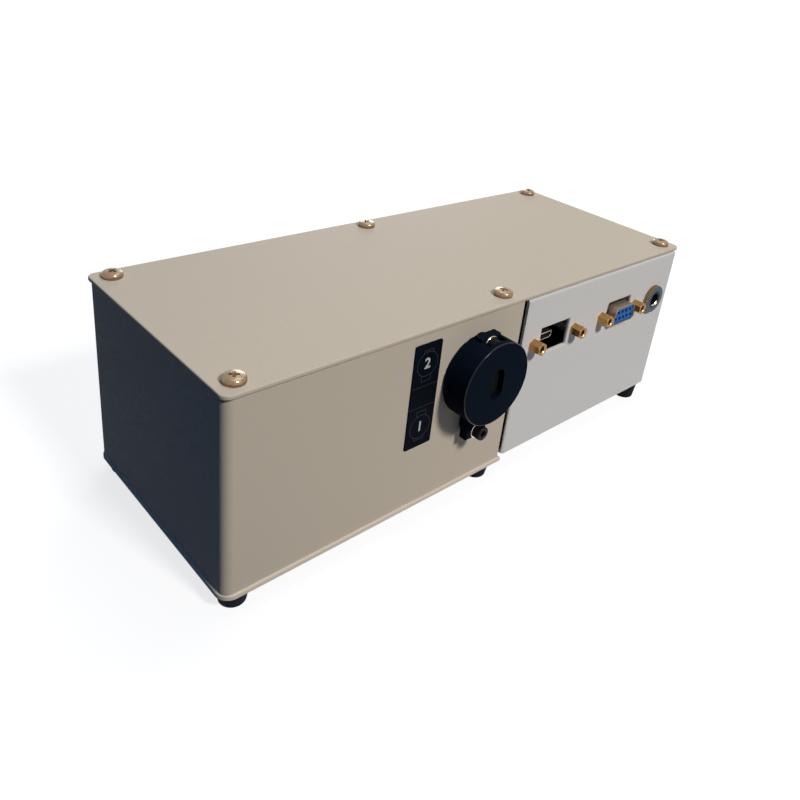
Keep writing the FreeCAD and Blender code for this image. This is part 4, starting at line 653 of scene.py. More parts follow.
def thread(radius: float, depth: float, low: float, high: float, pitch: float = 0.5) -> Profile:
    """Return an outline that rises in a zigzag, as a thread's rings do.

    Args:
        radius: Radius over the crests in millimetres.
        depth: How much deeper the roots lie in millimetres.
        low: Where the outline starts in millimetres.
        high: Where it ends in millimetres.
        pitch: Distance from crest to crest in millimetres.

    Returns:
        The points, from low to high.
    """
    count = max(1, round((high - low) / pitch))
    step = (high - low) / count
    points = [(radius - depth, low)]
    for index in range(count):
        points.append((radius, low + step * (index + 0.5)))
        points.append((radius - depth, low + step * (index + 1)))
    return points


def coat_faces(piece: Piece, finish: Finish, test: Test) -> None:
    """Cover the faces of a piece that pass a test with a second finish.

    Args:
        piece: The piece, already painted.
        finish: The finish for those faces.
        test: Takes the face's centre and its normal.
    """
    piece.data.materials.append(paintbox.material(finish))
    edit(piece)
    choose_faces(piece, test)
    piece.active_material_index = len(piece.data.materials) - 1
    bpy.ops.object.material_slot_assign()
    leave()


def place(piece: Piece, at: Point, facing: Facing = Facing.UP, spin: float = 0.0) -> None:
    """Turn a piece from its own Z axis to a direction, move it and apply both.

    Args:
        piece: The piece, built about the world's origin.
        at: Its place, in millimetres.
        facing: The direction that its Z axis takes.
        spin: Its turn about its own axis first, in radians.
    """
    pick(piece)
    turn = Euler(facing.value).to_matrix().to_4x4() @ Matrix.Rotation(spin, 4, "Z")
    piece.matrix_world = Matrix.Translation(Vector(at) * MM) @ turn
    bpy.ops.object.transform_apply(location=True, rotation=True, scale=True)


def copy_to(piece: Piece, name: str, at: Point, facing: Facing = Facing.UP, spin: float = 0.0) -> Piece:
    """Copy a piece with its own mesh and place the copy.

    Args:
        piece: The piece to copy.
        name: The copy's name.
        at: The copy's place, in millimetres.
        facing: The direction that its Z axis takes.
        spin: Its turn about its own axis, in radians.

    Returns:
        The copy.
    """
    pick(piece)
    bpy.ops.object.duplicate()
    twin = latest(name)
    place(twin, at, facing, spin)
    return twin


def apply_modifier(piece: Piece, kind: str, **settings: object) -> None:
    """Add a modifier with its settings and apply it at once.

    Args:
        piece: The piece.
        kind: The modifier's type.
        settings: The modifier's settings.
    """
    pick(piece)
    modifier = piece.modifiers.new(kind.lower(), kind)
    for key, value in settings.items():
        setattr(modifier, key, value)
    bpy.ops.object.modifier_apply(modifier=modifier.name)


def combine(piece: Piece, tool: Piece, operation: str = "DIFFERENCE") -> None:
    """Cut, join or intersect a piece with a tool, and throw the tool away."""
    apply_modifier(piece, "BOOLEAN", object=tool, operation=operation, solver="EXACT")
    bpy.data.objects.remove(tool, do_unlink=True)


def soften(piece: Piece, width: float, segments: int = 2, angle: float = 35.0) -> None:
    """Round every edge sharper than an angle by a width in millimetres."""
    apply_modifier(piece, "BEVEL", width=width * MM, segments=segments, limit_method="ANGLE",
                   angle_limit=math.radians(angle), use_clamp_overlap=True)


def smooth(piece: Piece, angle: float = 32.0) -> None:
    """Shade a piece smooth, apart from edges sharper than an angle, with its flat faces kept flat.

    Args:
        piece: The piece.
        angle: The angle in degrees.
    """
    pick(piece)
    bpy.ops.object.shade_smooth_by_angle(angle=math.radians(angle))
    apply_modifier(piece, "WEIGHTED_NORMAL", weight=80, keep_sharp=True)


def merge(pieces: Sequence[Piece], name: str) -> Piece:
    """Join pieces into the first of them and name the result.

    Args:
        pieces: The pieces.
        name: The joined piece's name.

    Returns:
        The joined piece.
    """
    deselect()
    for piece in pieces:
        piece.select_set(True)
    bpy.context.view_layer.objects.active = pieces[0]
    if len(pieces) > 1:
        bpy.ops.object.join()
    return latest(name)


def set_up(piece: Piece, finish: Finish, *nodes: str, body: Body = Body.CASE, slot: str = "") -> None:
    """Finish a piece: its paint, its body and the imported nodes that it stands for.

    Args:
        piece: The piece, in place.
        finish: What covers it.
        nodes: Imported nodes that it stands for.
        body: The body that it rides on.
        slot: The record's material slot, where it isn't the first node's; not used.
    """
    paintbox.paint(piece, finish)
    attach(piece, body.value)
    if nodes:
        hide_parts(*nodes)
    log.info("%s: %d faces", piece.name, len(piece.data.polygons))


def repeat(master: Piece, name: str, spots: Sequence[Point], facing: Facing = Facing.UP,
           turned: bool = False) -> Piece:
    """Set copies of a master piece at their places, join them and throw the master away.

    Args:
        master: The piece, built about the world's origin.
        name: The joined piece's name.
        spots: The copies' places, in millimetres.
        facing: The direction that their Z axis takes.
        turned: Whether each copy is turned its own way about its axis, as a screw is.

    Returns:
        The joined copies, shaded smooth.
    """
    copies = []
    for spot in spots:
        spin = random.uniform(0.0, math.pi) if turned else 0.0
        copies.append(copy_to(master, "copy", spot, facing, spin))
    bpy.data.objects.remove(master, do_unlink=True)
    piece = merge(copies, name)
    smooth(piece)
    return piece


def refined(node: str, edge: float = 0.0) -> Piece:
    """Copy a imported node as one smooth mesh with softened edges.

    Args:
        node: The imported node.
        edge: Width of the softened edges in millimetres, or 0 for none.

    Returns:
        The new piece, at the node's place.
    """
    pick(frame["nodes"][node])
    bpy.ops.object.duplicate()
    piece = latest(f"{node}_skin")
    for key in list(piece.keys()):
        del piece[key]
    piece.parent = None
    edit(piece)
    bpy.ops.mesh.select_all(action="SELECT")
    bpy.ops.mesh.remove_doubles(threshold=WELD * MM)
    bpy.ops.mesh.dissolve_limited(angle_limit=math.radians(0.4))
    leave()
    if edge > 0.0:
        soften(piece, edge)
    smooth(piece)
    return piece


# Case


@dataclass
class Enclosure:
    """The folded sheets of the case: lid, two halves and base plate."""

    mouth_rounding: float = 0.9
    window_rounding: float = 0.45
    softening: float = 0.12

    def build(self) -> None:
        """Make the smooth sheets."""
        for node in ("lid", "housing_shell", "connector_case", "base_plate"):
            piece = refined(node, self.softening if node == "housing_shell" else 0.0)
            if node == "connector_case":
                self.bend_mouth(piece)
            set_up(piece, finish_of(node), node)

    def bend_mouth(self, piece: Piece) -> None:
        """Round the connector case's upright outer edges beside the seam and its two windows' rims.

        Args:
            piece: The connector case.
        """
        low, high = (corner[1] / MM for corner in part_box("connector_case"))
        round_edges(piece, self.mouth_rounding, 5, lambda first, second: upright(first, second)
                    and abs(first.x / MM - CASE_LEFT) < NEAR
                    and min(abs(first.y / MM - low), abs(first.y / MM - high)) < NEAR)
        round_edges(piece, self.window_rounding, 3,
                    lambda first, second: self.rims_window(first) and self.rims_window(second))
        smooth(piece)

    def rims_window(self, point: Vector) -> bool:
        """Tell if a corner lies on the front face, on the rim of one of the two sockets' windows."""
        x, y, z = point / MM
        return abs(y - WALL) < NEAR and 20.0 < x < 90.0 and abs(z - SOCKET_ROW) < 6.5 and not any(
            math.hypot(x - stud, z - SOCKET_ROW) < 2.0 for stud, _, _ in STUDS)


# Screws, feet and label


@dataclass
class LidScrews:
    """Six pan-head screws with cross recesses, each turned its own way."""

    length: float = 6.5
    shank: float = 2.0
    pitch: float = 0.7
    head: float = 3.6
    recess: Point = (1.95, 0.5, 0.9)

    def build(self) -> None:
        """Make one screw and set its copies in the lid."""
        piece = repeat(self.make_screw(), "pan_screws", [(x, y, LID_TOP) for x, y in POSTS], turned=True)
        set_up(piece, NICKEL, "lid_screws")

    def make_screw(self) -> Piece:
        """Turn the screw and sink its cross recess.

        Returns:
            The screw about the world's origin, its head's underside at height 0.
        """
        outline = [(0.0, -self.length), (1.5, -self.length),
                   *thread(self.shank, 0.25, 0.3 - self.length, -0.2, self.pitch), (self.shank, 0.0),
                   (self.head - 0.1, 0.0), *arc((self.head - 0.3, 0.3), 0.3, -40.0, 0.0, 2),
                   *arc((self.head - 1.4, 0.75), 1.4, 0.0, 62.0), (1.6, 2.2), (0.0, 2.3)]
        screw = add_turned("pan_screw_master", outline, 40)
        reach, half, foot = self.recess
        for number in range(2):
            arm = add_block("recess_arm", (-reach, -half, foot), (reach, half, 3.0))
            edit(arm)
            choose_faces(arm, lambda centre, normal: normal.z < -0.9)
            bpy.ops.transform.resize(value=(0.45, 0.7, 1.0), center_override=(0.0, 0.0, foot * MM))
            leave()
            place(arm, (0.0, 0.0, 0.0), spin=number * math.pi / 2)
            combine(screw, arm)
        return screw


@dataclass
class Feet:
    """Tapered rubber feet, four under the optical half and two taller ones under the other."""

    low: float = 5.5
    tall: float = 7.7
    bore: float = 1.6
    recess: float = 2.8
    shoulder: float = 2.5
    top: float = 5.35
    rounding: float = 0.9

    def build(self) -> None:
        """Turn both kinds of foot and set them on their posts."""
        for node, height, places in (("rubber_feet", self.low, POSTS[:4]),
                                     ("tall_rubber_feet", self.tall, POSTS[4:])):
            outline = [(self.bore, height), (self.bore, self.shoulder), (self.recess, self.shoulder),
                       (self.recess, 0.0), (3.6, 0.0), *arc((3.7, self.rounding), self.rounding, -90.0, -8.0),
                       (self.top, height - 0.25), (self.top - 0.1, height), (self.bore, height)]
            master = add_turned("foot_master", outline, 48)
            piece = repeat(master, f"{node}_moulded", [(x, y, 0.0) for x, y in places])
            set_up(piece, RUBBER, node)


@dataclass
class Label:
    """Dark plate with two disc pictograms, a figure in each, and thin lines between its cells."""

    width: float = 12.2
    height: float = 41.2
    corner: float = 0.8
    figure_size: float = 5.6
    figures: tuple[tuple[str, float], ...] = (("2", 66.4), ("1", 41.3))
    discs: tuple[float, float] = (66.3, 41.3)
    disc: float = 4.75
    tabs: tuple[float, float] = (2.2, 1.1)
    tab: float = 2.1
    lines: tuple[float, float] = (57.8, 49.5)
    stroke: float = 0.09
    film: tuple[float, float] = (0.49, 0.53)

    def build(self) -> None:
        """Make the plate and its print."""
        x, y = self.width / 2, self.height / 2
        plate = add_block("label_film_plate", (-x, -y, 0.0), (x, y, 0.5))
        round_edges(plate, self.corner, 5, upright)
        soften(plate, 0.08)
        smooth(plate)
        place(plate, (LABEL_X, WALL, LABEL_ROW), Facing.FRONT)
        set_up(plate, FILM, "label_plate")
        self.print_marks("label_outlines", self.make_outlines(), FAINT_INK)
        figures = [self.make_figure(figure, level) for figure, level in self.figures]
        self.print_marks("label_figures", figures, PRINT_INK)

    def print_marks(self, name: str, marks: list[Piece], finish: Finish) -> None:
        """Join flat marks, face them forward on the plate and finish them.

        Args:
            name: The print's name.
            marks: The marks, drawn about the plate's middle.
            finish: The ink.
        """
        piece = merge(marks, name)
        place(piece, (LABEL_X, WALL, LABEL_ROW), Facing.FRONT)
        set_up(piece, finish, slot="label_film")

    def make_outlines(self) -> list[Piece]:
        """Draw the cells' lines and the discs with their tabs.

        Returns:
            The flat marks, about the plate's middle.
        """
        marks = [self.bar(-5.9, 5.9, level - 0.07, level + 0.07) for level in self.lines]
        for centre, long_side in zip(self.discs, (-1.0, 1.0)):
            (back, front), edge, inner = self.film, self.disc, self.disc - 0.2
            ring = add_turned("disc_outline", [(inner, back), (edge, back), (edge, front), (inner, front),
                                               (inner, back)], 64)
            place(ring, (0.0, centre - LABEL_ROW, 0.0))
            marks.append(ring)
            for side, reach in zip((long_side, -long_side), self.tabs):
                near, far = (centre + side * (self.disc - 0.5 + step) for step in (0.0, reach))
                for x in (-self.tab, self.tab):
                    marks.append(self.bar(x - self.stroke, x + self.stroke, min(near, far), max(near, far)))
                marks.append(self.bar(-self.tab - self.stroke, self.tab + self.stroke, far - self.stroke,
                                      far + self.stroke))
        return marks

    def bar(self, left: float, right: float, low: float, high: float) -> Piece:
        """Draw one flat bar from heights above the floor."""
        back, front = self.film
        return add_block("printed_bar", (left, low - LABEL_ROW, back), (right, high - LABEL_ROW, front))

    def make_figure(self, figure: str, level: float) -> Piece:
        """Draw one plain figure at a height above the floor.

        Args:
            figure: The figure.
            level: Its height above the floor, in millimetres.

        Returns:
            The figure as a mesh.
        """
        deselect()
        bpy.ops.object.text_add()
        text = bpy.context.object
        text.data.body = figure
        text.data.size = self.figure_size * MM
        text.data.align_x = "CENTER"
        text.data.align_y = "CENTER"
        text.data.offset = 0.12 * MM
        text.data.extrude = 0.02 * MM
        bpy.ops.object.convert(target="MESH")
        mark = latest("printed_figure")
        place(mark, (0.0, level - LABEL_ROW, 0.52))
        return mark


# Entrance slit


@dataclass
class SlitSlide:
    """The rail with its socket screws and washers, and the round head that rides on it."""

    cap: float = 2.75
    knurls: int = 28
    key: float = 1.443
    washer: tuple[float, float, float] = (1.6, 3.2, 0.5)
    radius: float = 16.2
    depth: float = 11.2
    rim: float = 0.4
    window: float = 3.1
    channel: tuple[Point, ...] = ((7.5, -1.0, 1.0), (4.1, 0.95, 1.7), (5.1, 1.65, 5.4), (4.7, 5.35, 9.0))
    plunger: tuple[float, float] = (1.5, 3.55)

    def build(self) -> None:
        """Make the rail, its fasteners and the head."""
        rail = refined("slide_rail", 0.12)
        set_up(rail, ANODISED, "slide_rail")
        self.fasten_rail()
        self.make_head()

    def fasten_rail(self) -> None:
        """Make the knurled socket screws and the washers under them."""
        screw = add_knurled("cap_screw_master", self.knurls, self.cap, 0.16, 0.0, 3.0)
        barrel = add_turned("cap_barrel", [(0.0, -0.1), (self.cap - 0.15, -0.1), (self.cap, 0.15),
                                           (self.cap, 2.55), *arc((self.cap - 0.4, 2.6), 0.4, 0.0, 90.0, 3),
                                           (0.0, 3.0)], 64)
        combine(screw, barrel, "INTERSECT")
        combine(screw, add_prism("hexagon_key", 6, self.key, 1.5, 3.2))
        combine(screw, add_turned("key_mouth", [(0.0, 2.85), (1.4, 2.85), (1.65, 3.1), (0.0, 3.1)], 32))
        shank = add_turned("cap_shank", [(0.0, -9.5), (1.2, -9.5), *thread(1.5, 0.2, -9.3, 0.2),
                                         (0.0, 0.2)], 32)
        combine(screw, shank, "UNION")
        rows = (RAIL_ROW - RAIL_SCREW, RAIL_ROW + RAIL_SCREW)
        piece = repeat(screw, "socket_cap_screws", [(SLIT_X, RAIL_FRONT - 0.5, row) for row in rows],
                       Facing.FRONT, turned=True)
        set_up(piece, BLACK_STEEL, "rail_screws")
        coat_faces(piece, POLISHED_RIM, lambda centre, normal: -0.9 < normal.y < -0.3
                   and centre.y < (RAIL_FRONT - 3.0) * MM)
        hole, edge, thick = self.washer
        washer = add_turned("washer_master", [
            (hole, 0.08), (hole + 0.08, 0.0), (edge - 0.1, 0.0), (edge, 0.1), (edge, thick - 0.1),
            (edge - 0.1, thick), (hole + 0.08, thick), (hole, thick - 0.08), (hole, 0.08)], 48)
        piece = repeat(washer, "bright_washers", [(SLIT_X, RAIL_FRONT, row) for row in rows], Facing.FRONT)
        set_up(piece, BRIGHT_NICKEL_AND_HIGHLIGHT, "rail_washers")

    def make_head(self) -> None:
        """Turn the head, mill its stepped channel and window and drill its plunger's hole."""
        shoulder = self.depth - self.rim
        outline = [(0.0, 0.3), (self.radius - 0.45, 0.3), (self.radius, 0.75), (self.radius, shoulder),
                   *arc((self.radius - self.rim, shoulder), self.rim, 8.0, 90.0), (0.0, self.depth)]
        head = add_turned("slit_head_milled", outline, 128)
        for half, low, high in self.channel:
            combine(head, add_block("channel", (-half, -18.0, low), (half, 18.0, high)))
        half = self.window
        combine(head, add_block("window", (-half, -half, 8.0), (half, half, 12.0)))
        for side in (-half, half):
            end = add_prism("window_end", 48, half, 8.0, 12.0)
            place(end, (0.0, side, 0.0))
            combine(head, end)
        bore, level = self.plunger
        hole = add_turned("plunger_hole", [(0.0, 4.9), (bore, 4.9), (bore, 16.4), (0.0, 16.4)], 32)
        place(hole, (0.0, 0.0, level), Facing.LEFT)
        combine(head, hole)
        soften(head, 0.12, 2, 40.0)
        smooth(head, 25.0)
        place(head, (SLIT_X, WALL, HEAD_ROW), Facing.FRONT)
        set_up(head, ANODISED, "slit_head", body=Body.SLIDE)
        coat_faces(head, POLISHED_RIM, self.lies_on_rim)

    def lies_on_rim(self, centre: Vector, normal: Vector) -> bool:
        """Tell if a face of the head belongs to the rounded rim of its front."""
        radius = math.hypot(centre.x / MM - SLIT_X, centre.z / MM - HEAD_ROW)
        return radius > self.radius - 0.6 and centre.y / MM < WALL - self.depth + 0.6 and normal.y > -0.98


# Sockets


@dataclass
class Standoffs:
    """Gold hexagonal standoffs on both sides of the data socket and of the serial socket."""

    corner: float = 2.771
    height: float = 4.8
    bore: float = 1.56
    stud: float = 1.4
    pitch: float = 0.45

    def build(self) -> None:
        """Make the standoffs pair by pair."""
        for node, pair in (("usb_standoffs", STUDS[:2]), ("serial_standoffs", STUDS[2:])):
            piece = repeat(self.make_standoff(), f"{node}_turned", pair, Facing.FRONT)
            set_up(piece, GOLD, node)
            # The front end faces are painted darker brass as painted shade
            coat_faces(piece, PAINTED_SHADE_END_GOLD, lambda centre, normal: normal.y < -0.95)
            # The tapped bores are painted dark as painted shade
            coat_faces(piece, PAINTED_SHADE_BRASS, self.lies_in_bore)

    def lies_in_bore(self, centre: Vector, normal: Vector) -> bool:
        """Tell if a face lies in one of the standoffs' tapped bores."""
        radius = min(math.hypot(centre.x / MM - stud, centre.z / MM - SOCKET_ROW) for stud, _, _ in STUDS)
        return radius < 1.6 and centre.y < (WALL - 0.6) * MM and normal.y > -0.95

    def make_standoff(self) -> Piece:
        """Make a hexagon with turned ends, a tapped bore with a coned mouth and a stud behind.

        Returns:
            The standoff about the world's origin, its shoulder at height 0.
        """
        standoff = add_prism("standoff_master", 6, self.corner, 0.0, self.height)
        barrel = add_turned("standoff_barrel", [(0.0, -0.1), (2.5, -0.1), (2.78, 0.2), (2.78, 4.45),
                                                (2.4, self.height), (0.0, self.height)], 64)
        combine(standoff, barrel, "INTERSECT")
        bore = add_turned("tapped_bore", [(0.0, 0.8), *thread(self.bore, 0.16, 1.0, 4.3, self.pitch),
                                          (1.42, 4.4), (1.95, 4.95), (0.0, 4.95)], 40)
        combine(standoff, bore)
        stud = add_turned("stud", [(0.0, -5.3), (1.1, -5.3), *thread(self.stud, 0.16, -5.1, -0.1, self.pitch),
                                   (self.stud, 0.3), (0.0, 0.3)], 32)
        combine(standoff, stud, "UNION")
        soften(standoff, 0.05, 1, 50.0)
        return standoff


@dataclass
class DataSocket:
    """Small recessed socket with the contacts on its tongue."""

    contacts: int = 5
    raised: float = 0.05

    def build(self) -> None:
        """Make the drawn shell, its tongue and the tongue's contacts."""
        shell = refined("usb_socket", 0.06)
        # The data socket's shell is painted dark as painted shade
        set_up(shell, PAINTED_SHADE_TIN, "usb_socket")
        # Its front rim gets a bright painted highlight
        coat_faces(shell, BRIGHT_NICKEL_AND_HIGHLIGHT, lambda centre, normal: normal.y < -0.7)
        low, high = (Vector(corner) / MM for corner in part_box("usb_tongue"))
        tongue = add_block("moulded_tongue", tuple(low), tuple(high))
        soften(tongue, 0.1)
        smooth(tongue)
        set_up(tongue, BLACK_PLASTIC, "usb_tongue")
        step = (high.x - low.x) / self.contacts
        strips = []
        for index in range(self.contacts):
            left = low.x + step * (index + 0.25)
            strips.append(add_block("contact_strip", (left, low.y + 0.15, high.z - 0.01),
                                    (left + step / 2, high.y - 0.3, high.z + self.raised)))
        set_up(merge(strips, "usb_contact_strips"), GOLD, slot="gold_brass")


@dataclass
class SerialSocket:
    """Nine-way socket: a drawn D-shaped shell on its flange, a blue insert and nine contacts."""

    rows: tuple[tuple[int, float], ...] = ((5, -1.42), (4, 1.42))
    pitch: float = 2.77
    reach: float = 4.8
    flange: Point = (15.4, 6.25, 0.8)
    wall: tuple[float, float] = (16.33, 7.9)
    sheet: float = 0.45
    insert: tuple[float, float] = (15.23, 6.8)
    hole: float = 0.72

    def build(self) -> None:
        """Make the shell, the insert and the contacts."""
        at = (SERIAL_X, WALL + SHEET, SOCKET_ROW)
        for piece, finish, node in ((self.make_shell(), TIN, "serial_shell"),
                                    (self.make_insert(), BLUE_PLASTIC, "serial_insert"),
                                    (self.make_contacts(), GOLD, "serial_contacts")):
            place(piece, at, Facing.FRONT)
            set_up(piece, finish, node)
            if node == "serial_shell":
                # The flange behind the wall is painted dark as painted shade
                coat_faces(piece, PAINTED_SHADE_TIN, lambda centre, normal: centre.y > (WALL + 0.5) * MM)
                # The shell's front rim gets a gold-toned painted highlight
                coat_faces(piece, NICKEL, lambda centre, normal: normal.y < -0.3
                           and centre.y < (WALL - 3.0) * MM)

    def places(self) -> list[tuple[float, float]]:
        """Return the places of the nine contacts across the socket."""
        return [((index - (count - 1) / 2) * self.pitch, row) for count, row in self.rows
                for index in range(count)]

    def make_shell(self) -> Piece:
        """Draw the shell out of its flange, with a rolled lip and two screw holes.

        Returns:
            The shell, its flange's front at height 0.
        """
        half_width, half_height, thick = self.flange
        shell = add_block("drawn_shell", (-half_width, -half_height, -thick), (half_width, half_height, 0.0))
        round_edges(shell, 1.5, 4, upright)
        inner = [size - 2 * self.sheet for size in self.wall]
        combine(shell, add_d_block("drawn_wall", *self.wall, -0.4, self.reach, 2.2), "UNION")
        combine(shell, add_d_block("hollow", *inner, -1.0, self.reach + 1.0, 2.2 - self.sheet))
        for side in (-1.0, 1.0):
            hole = add_prism("flange_hole", 32, 1.6, -1.0, 1.0)
            place(hole, (side * SERIAL_PITCH / 2, 0.0, 0.0))
            combine(shell, hole)
        soften(shell, 0.14, 3, 50.0)
        smooth(shell)
        return shell

    def make_insert(self) -> Piece:
        """Mould the insert with nine holes that are square at the mouth and round behind it.

        Returns:
            The insert, with its mouth upwards.
        """
        insert = add_d_block("moulded_insert", *self.insert, -6.8, 4.3, 1.7)
        half = self.hole
        mouths, bores = [], []
        for x, y in self.places():
            mouths.append(add_block("mouth", (x - half, y - half, 3.4), (x + half, y + half, 5.0)))
            bore = add_prism("bore", 24, half, -8.0, 3.45)
            place(bore, (x, y, 0.0))
            bores.append(bore)
        combine(insert, merge(mouths, "mouths"))
        combine(insert, merge(bores, "bores"))
        soften(insert, 0.07, 2, 50.0)
        smooth(insert)
        return insert

    def make_contacts(self) -> Piece:
        """Turn the nine hollow contacts.

        Returns:
            The contacts, with their mouths upwards.
        """
        outline = [(0.0, -6.8), (0.75, -6.8), (0.75, 3.2), (0.62, 3.3), (0.5, 3.1), (0.5, -1.0), (0.0, -1.0)]
        master = add_turned("contact_master", outline, 24)
        return repeat(master, "turned_contacts", [(x, y, 0.0) for x, y in self.places()])


@dataclass
class PowerJack:
    """Round power socket: a knurled ring, an insulating sleeve and its pin."""

    ribs: int = 38
    ring: float = 6.6
    face: float = 2.0
    sleeve: float = 4.0
    bore: float = 2.8
    back: float = 12.0
    depth: float = 7.0
    pin: float = 1.0

    def build(self) -> None:
        """Make the ring, the sleeve and the pin."""
        for piece, finish, node in ((self.make_ring(), NICKEL, "power_jack_ring"),
                                    (self.make_sleeve(), BLACK_PLASTIC, "power_jack_body"),
                                    (self.make_pin(), BRIGHT_NICKEL_AND_HIGHLIGHT, "power_jack_pin")):
            place(piece, (POWER_X, WALL, SOCKET_ROW), Facing.FRONT)
            set_up(piece, finish, node)
            if node == "power_jack_ring":
                # The ring's front face gets a dark navy painted reflection
                coat_faces(piece, PAINTED_REFLECTION_NICKEL, lambda centre, normal: normal.y < -0.9)
            elif node == "power_jack_body":
                # The low part of the mouth's rim gets a bright painted highlight
                coat_faces(piece, BRIGHT_NICKEL_AND_HIGHLIGHT, self.gets_mouth_highlight)

    def make_sleeve(self) -> Piece:
        """Turn the insulating sleeve with its coned mouth.

        Returns:
            The sleeve, with its mouth upwards.
        """
        sleeve = add_turned("power_jack_sleeve", [
            (0.0, -self.back), (self.sleeve - 0.3, -self.back), (self.sleeve, 0.3 - self.back),
            (self.sleeve, self.face - 0.2), (self.sleeve - 0.2, self.face), (self.bore + 0.35, self.face),
            (self.bore, self.face - 0.4), (self.bore, -self.depth), (0.0, -self.depth)], 64)
        smooth(sleeve)
        return sleeve

    def make_pin(self) -> Piece:
        """Turn the pin with its rounded end.

        Returns:
            The pin, with its end upwards.
        """
        pin = add_turned("power_jack_contact_pin", [
            (0.0, -self.depth), (self.pin, -self.depth), (self.pin, 0.0),
            *arc((self.pin / 2, 0.0), self.pin / 2, 10.0, 90.0), (0.0, self.pin / 2)], 32)
        smooth(pin)
        return pin

    def gets_mouth_highlight(self, centre: Vector, normal: Vector) -> bool:
        """Tell if a face of the sleeve is its mouth's sloping rim low down, which gets a painted highlight.
        """
        radius = math.hypot(centre.x / MM - POWER_X, centre.z / MM - SOCKET_ROW)
        return centre.y < (WALL - 1.5) * MM and radius < 3.1 and centre.z < (SOCKET_ROW - 1.4) * MM

    def make_ring(self) -> Piece:
        """Make the knurled ring with rounded rims and a bore.

        Returns:
            The ring, its back at height 0.
        """
        ring = add_knurled("knurled_ring", self.ribs, self.ring, 0.6, 0.0, self.face)
        barrel = add_turned("ring_barrel", [
            (0.0, -0.1), (self.ring - 0.3, -0.1), (self.ring, 0.2), (self.ring, self.face - 0.55),
            *arc((self.ring - 0.55, self.face - 0.55), 0.55, 10.0, 90.0, 4), (0.0, self.face)], 96)
        combine(ring, barrel, "INTERSECT")
        combine(ring, add_prism("ring_bore", 64, self.sleeve + 0.03, -1.0, 3.0))
        smooth(ring, 28.0)
        return ring


# Studio


@dataclass(frozen=True)
class Softbox:
    """A square lamp that looks at the middle of the object."""

    name: str
    place: Point
    size: float
    power: float
    colour: Colour = (1.0, 1.0, 1.0)

    def build(self, target: Vector) -> None:
        """Hang the lamp.

        Args:
            target: The point that it looks at.
        """
        data = bpy.data.lights.new(self.name, "AREA")
        data.shape = "SQUARE"
        data.size = self.size
        data.energy = self.power
        data.color = self.colour
        lamp = bpy.data.objects.new(self.name, data)
        bpy.context.scene.collection.objects.link(lamp)
        lamp.location = self.place
        lamp.rotation_euler = (target - lamp.location).to_track_quat("-Z", "Y").to_euler()


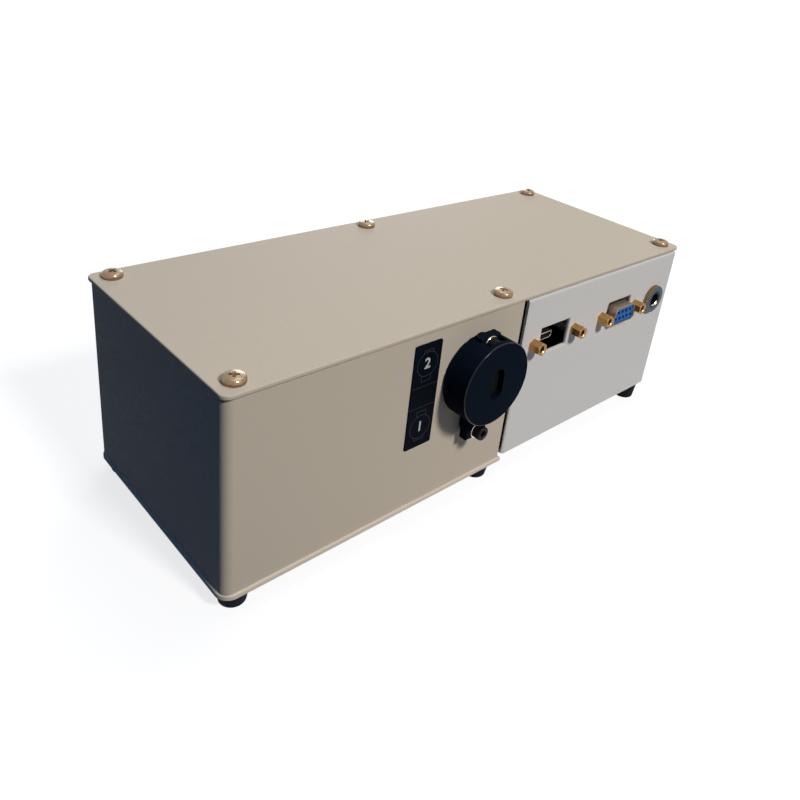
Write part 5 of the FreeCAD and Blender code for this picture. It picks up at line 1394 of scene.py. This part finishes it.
@dataclass
class Studio:
    """Pale floor, white surround, soft lamps and the photograph's camera."""

    camera_place: Point = (-0.20316, -0.19286, 0.19333)
    camera_turn: Point = (65.364, -6.054, -42.377)
    sensor: float = 36.0
    lens: float = 34.717
    picture: float = 800.0
    axis_pixel: tuple[float, float] = (415.50, 292.47)
    floor_size: float = 60.0
    floor_shade: float = 0.35
    glow: tuple[float, float] = (0.78, 1.0)
    glow_span: tuple[float, float] = (0.35, 1.6)
    bounce: tuple[float, float] = (0.4, 0.02)
    bounce_span: tuple[float, float] = (0.10, 0.20)
    bounce_centre: Point = (0.05, -0.12, 0.0)
    surround: Colour = (0.019, 0.052, 0.13)
    lamps: tuple[Softbox, ...] = (
        Softbox("key_softbox", (0.06, -1.15, 1.12), 0.24, 17.2, (1.0, 0.97, 0.93)),
        Softbox("ceiling_softbox", (0.45, 0.25, 1.3), 0.8, 5.8, (0.98, 1.0, 0.97)),
        Softbox("back_softbox", (0.9, 1.1, 0.45), 0.6, 5.0),
    )

    def build(self) -> None:
        """Make the floor, the surround, the lamps and the camera."""
        self.lay_floor()
        self.light_surround()
        low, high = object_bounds()
        for lamp in self.lamps:
            lamp.build((low + high) / 2)
        self.place_camera()
        bpy.context.scene.view_settings.view_transform = "Standard"

    def lay_floor(self) -> None:
        """Lay a floor that looks white and keeps the object's shadow."""
        deselect()
        bpy.ops.mesh.primitive_plane_add(size=self.floor_size)
        floor = latest("studio_floor")
        material = bpy.data.materials.new("pale_floor")
        material.use_nodes = True
        tree = material.node_tree
        tree.nodes.clear()
        place = tree.nodes.new("ShaderNodeTexCoord").outputs["Object"]
        vectors = "ShaderNodeVectorMath"
        distance = add_node(tree, vectors, {0: place}, operation="LENGTH")
        glow = ranged(tree, distance.outputs["Value"], *self.glow, *self.glow_span)
        white = add_node(tree, "ShaderNodeEmission", {"Strength": glow})
        matt = add_node(tree, "ShaderNodeBsdfDiffuse", {"Color": (*[self.floor_shade] * 3, 1.0)})
        both = {0: white.outputs["Emission"], 1: matt.outputs["BSDF"]}
        bright = add_node(tree, "ShaderNodeAddShader", both)
        reach = add_node(tree, vectors, {0: place, 1: self.bounce_centre}, operation="DISTANCE")
        bounce = ranged(tree, reach.outputs["Value"], *self.bounce, *self.bounce_span)
        dull = add_node(tree, "ShaderNodeBsdfDiffuse", {"Color": bounce})
        self.show(tree, dull.outputs["BSDF"], bright.outputs["Shader"], "ShaderNodeOutputMaterial")
        floor.data.materials.append(material)
        floor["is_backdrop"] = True

    def light_surround(self) -> None:
        """Make the world white to look at and dim as a light."""
        world = bpy.data.worlds.new("surround")
        bpy.context.scene.world = world
        world.use_nodes = True
        tree = world.node_tree
        tree.nodes.clear()
        dim, white = (add_node(tree, "ShaderNodeBackground", {"Color": (*colour, 1.0), "Strength": 1.0})
                      for colour in (self.surround, (1.0, 1.0, 1.0)))
        self.show(tree, dim.outputs["Background"], white.outputs["Background"], "ShaderNodeOutputWorld")

    def show(self, tree: Tree, lighting: Socket, seen: Socket, kind: str) -> None:
        """End a tree with one shader that gives light and another that is looked at.

        Args:
            tree: The nodes of the floor's material or of the world.
            lighting: The shader for the rays that light the object.
            seen: The shader for camera, glossy and transmission rays.
            kind: The type of the tree's output node.
        """
        path = tree.nodes.new("ShaderNodeLightPath").outputs
        direct = path["Is Camera Ray"]
        for name in ("Is Glossy Ray", "Is Transmission Ray"):
            either = add_node(tree, "ShaderNodeMath", {0: direct, 1: path[name]}, operation="MAXIMUM")
            direct = either.outputs["Value"]
        choice = add_node(tree, "ShaderNodeMixShader", {"Fac": direct, 1: lighting, 2: seen})
        add_node(tree, kind, {"Surface": choice.outputs["Shader"]})

    def place_camera(self) -> None:
        """Set the camera up where the photograph was taken."""
        data = bpy.data.cameras.new("photo_camera")
        data.sensor_width = self.sensor
        data.lens = self.lens
        half = self.picture / 2
        data.shift_x = (half - self.axis_pixel[0]) / self.picture
        data.shift_y = (self.axis_pixel[1] - half) / self.picture
        data.clip_start = 0.01
        data.clip_end = 100.0
        camera = bpy.data.objects.new("photo_camera", data)
        bpy.context.scene.collection.objects.link(camera)
        camera.location = self.camera_place
        camera.rotation_euler = Euler([math.radians(angle) for angle in self.camera_turn])
        bpy.context.scene.camera = camera


def main() -> None:
    """Dress the object piece by piece and set up the studio round it."""
    logging.basicConfig(level=logging.INFO, format="%(name)s %(message)s")
    random.seed(7)
    paintbox.paint_frame()
    for part in (Enclosure(), LidScrews(), Feet(), Label(), SlitSlide(), Standoffs(), DataSocket(),
                 SerialSocket(), PowerJack()):
        part.build()
    Studio().build()


if __name__ == "__main__":
    main()
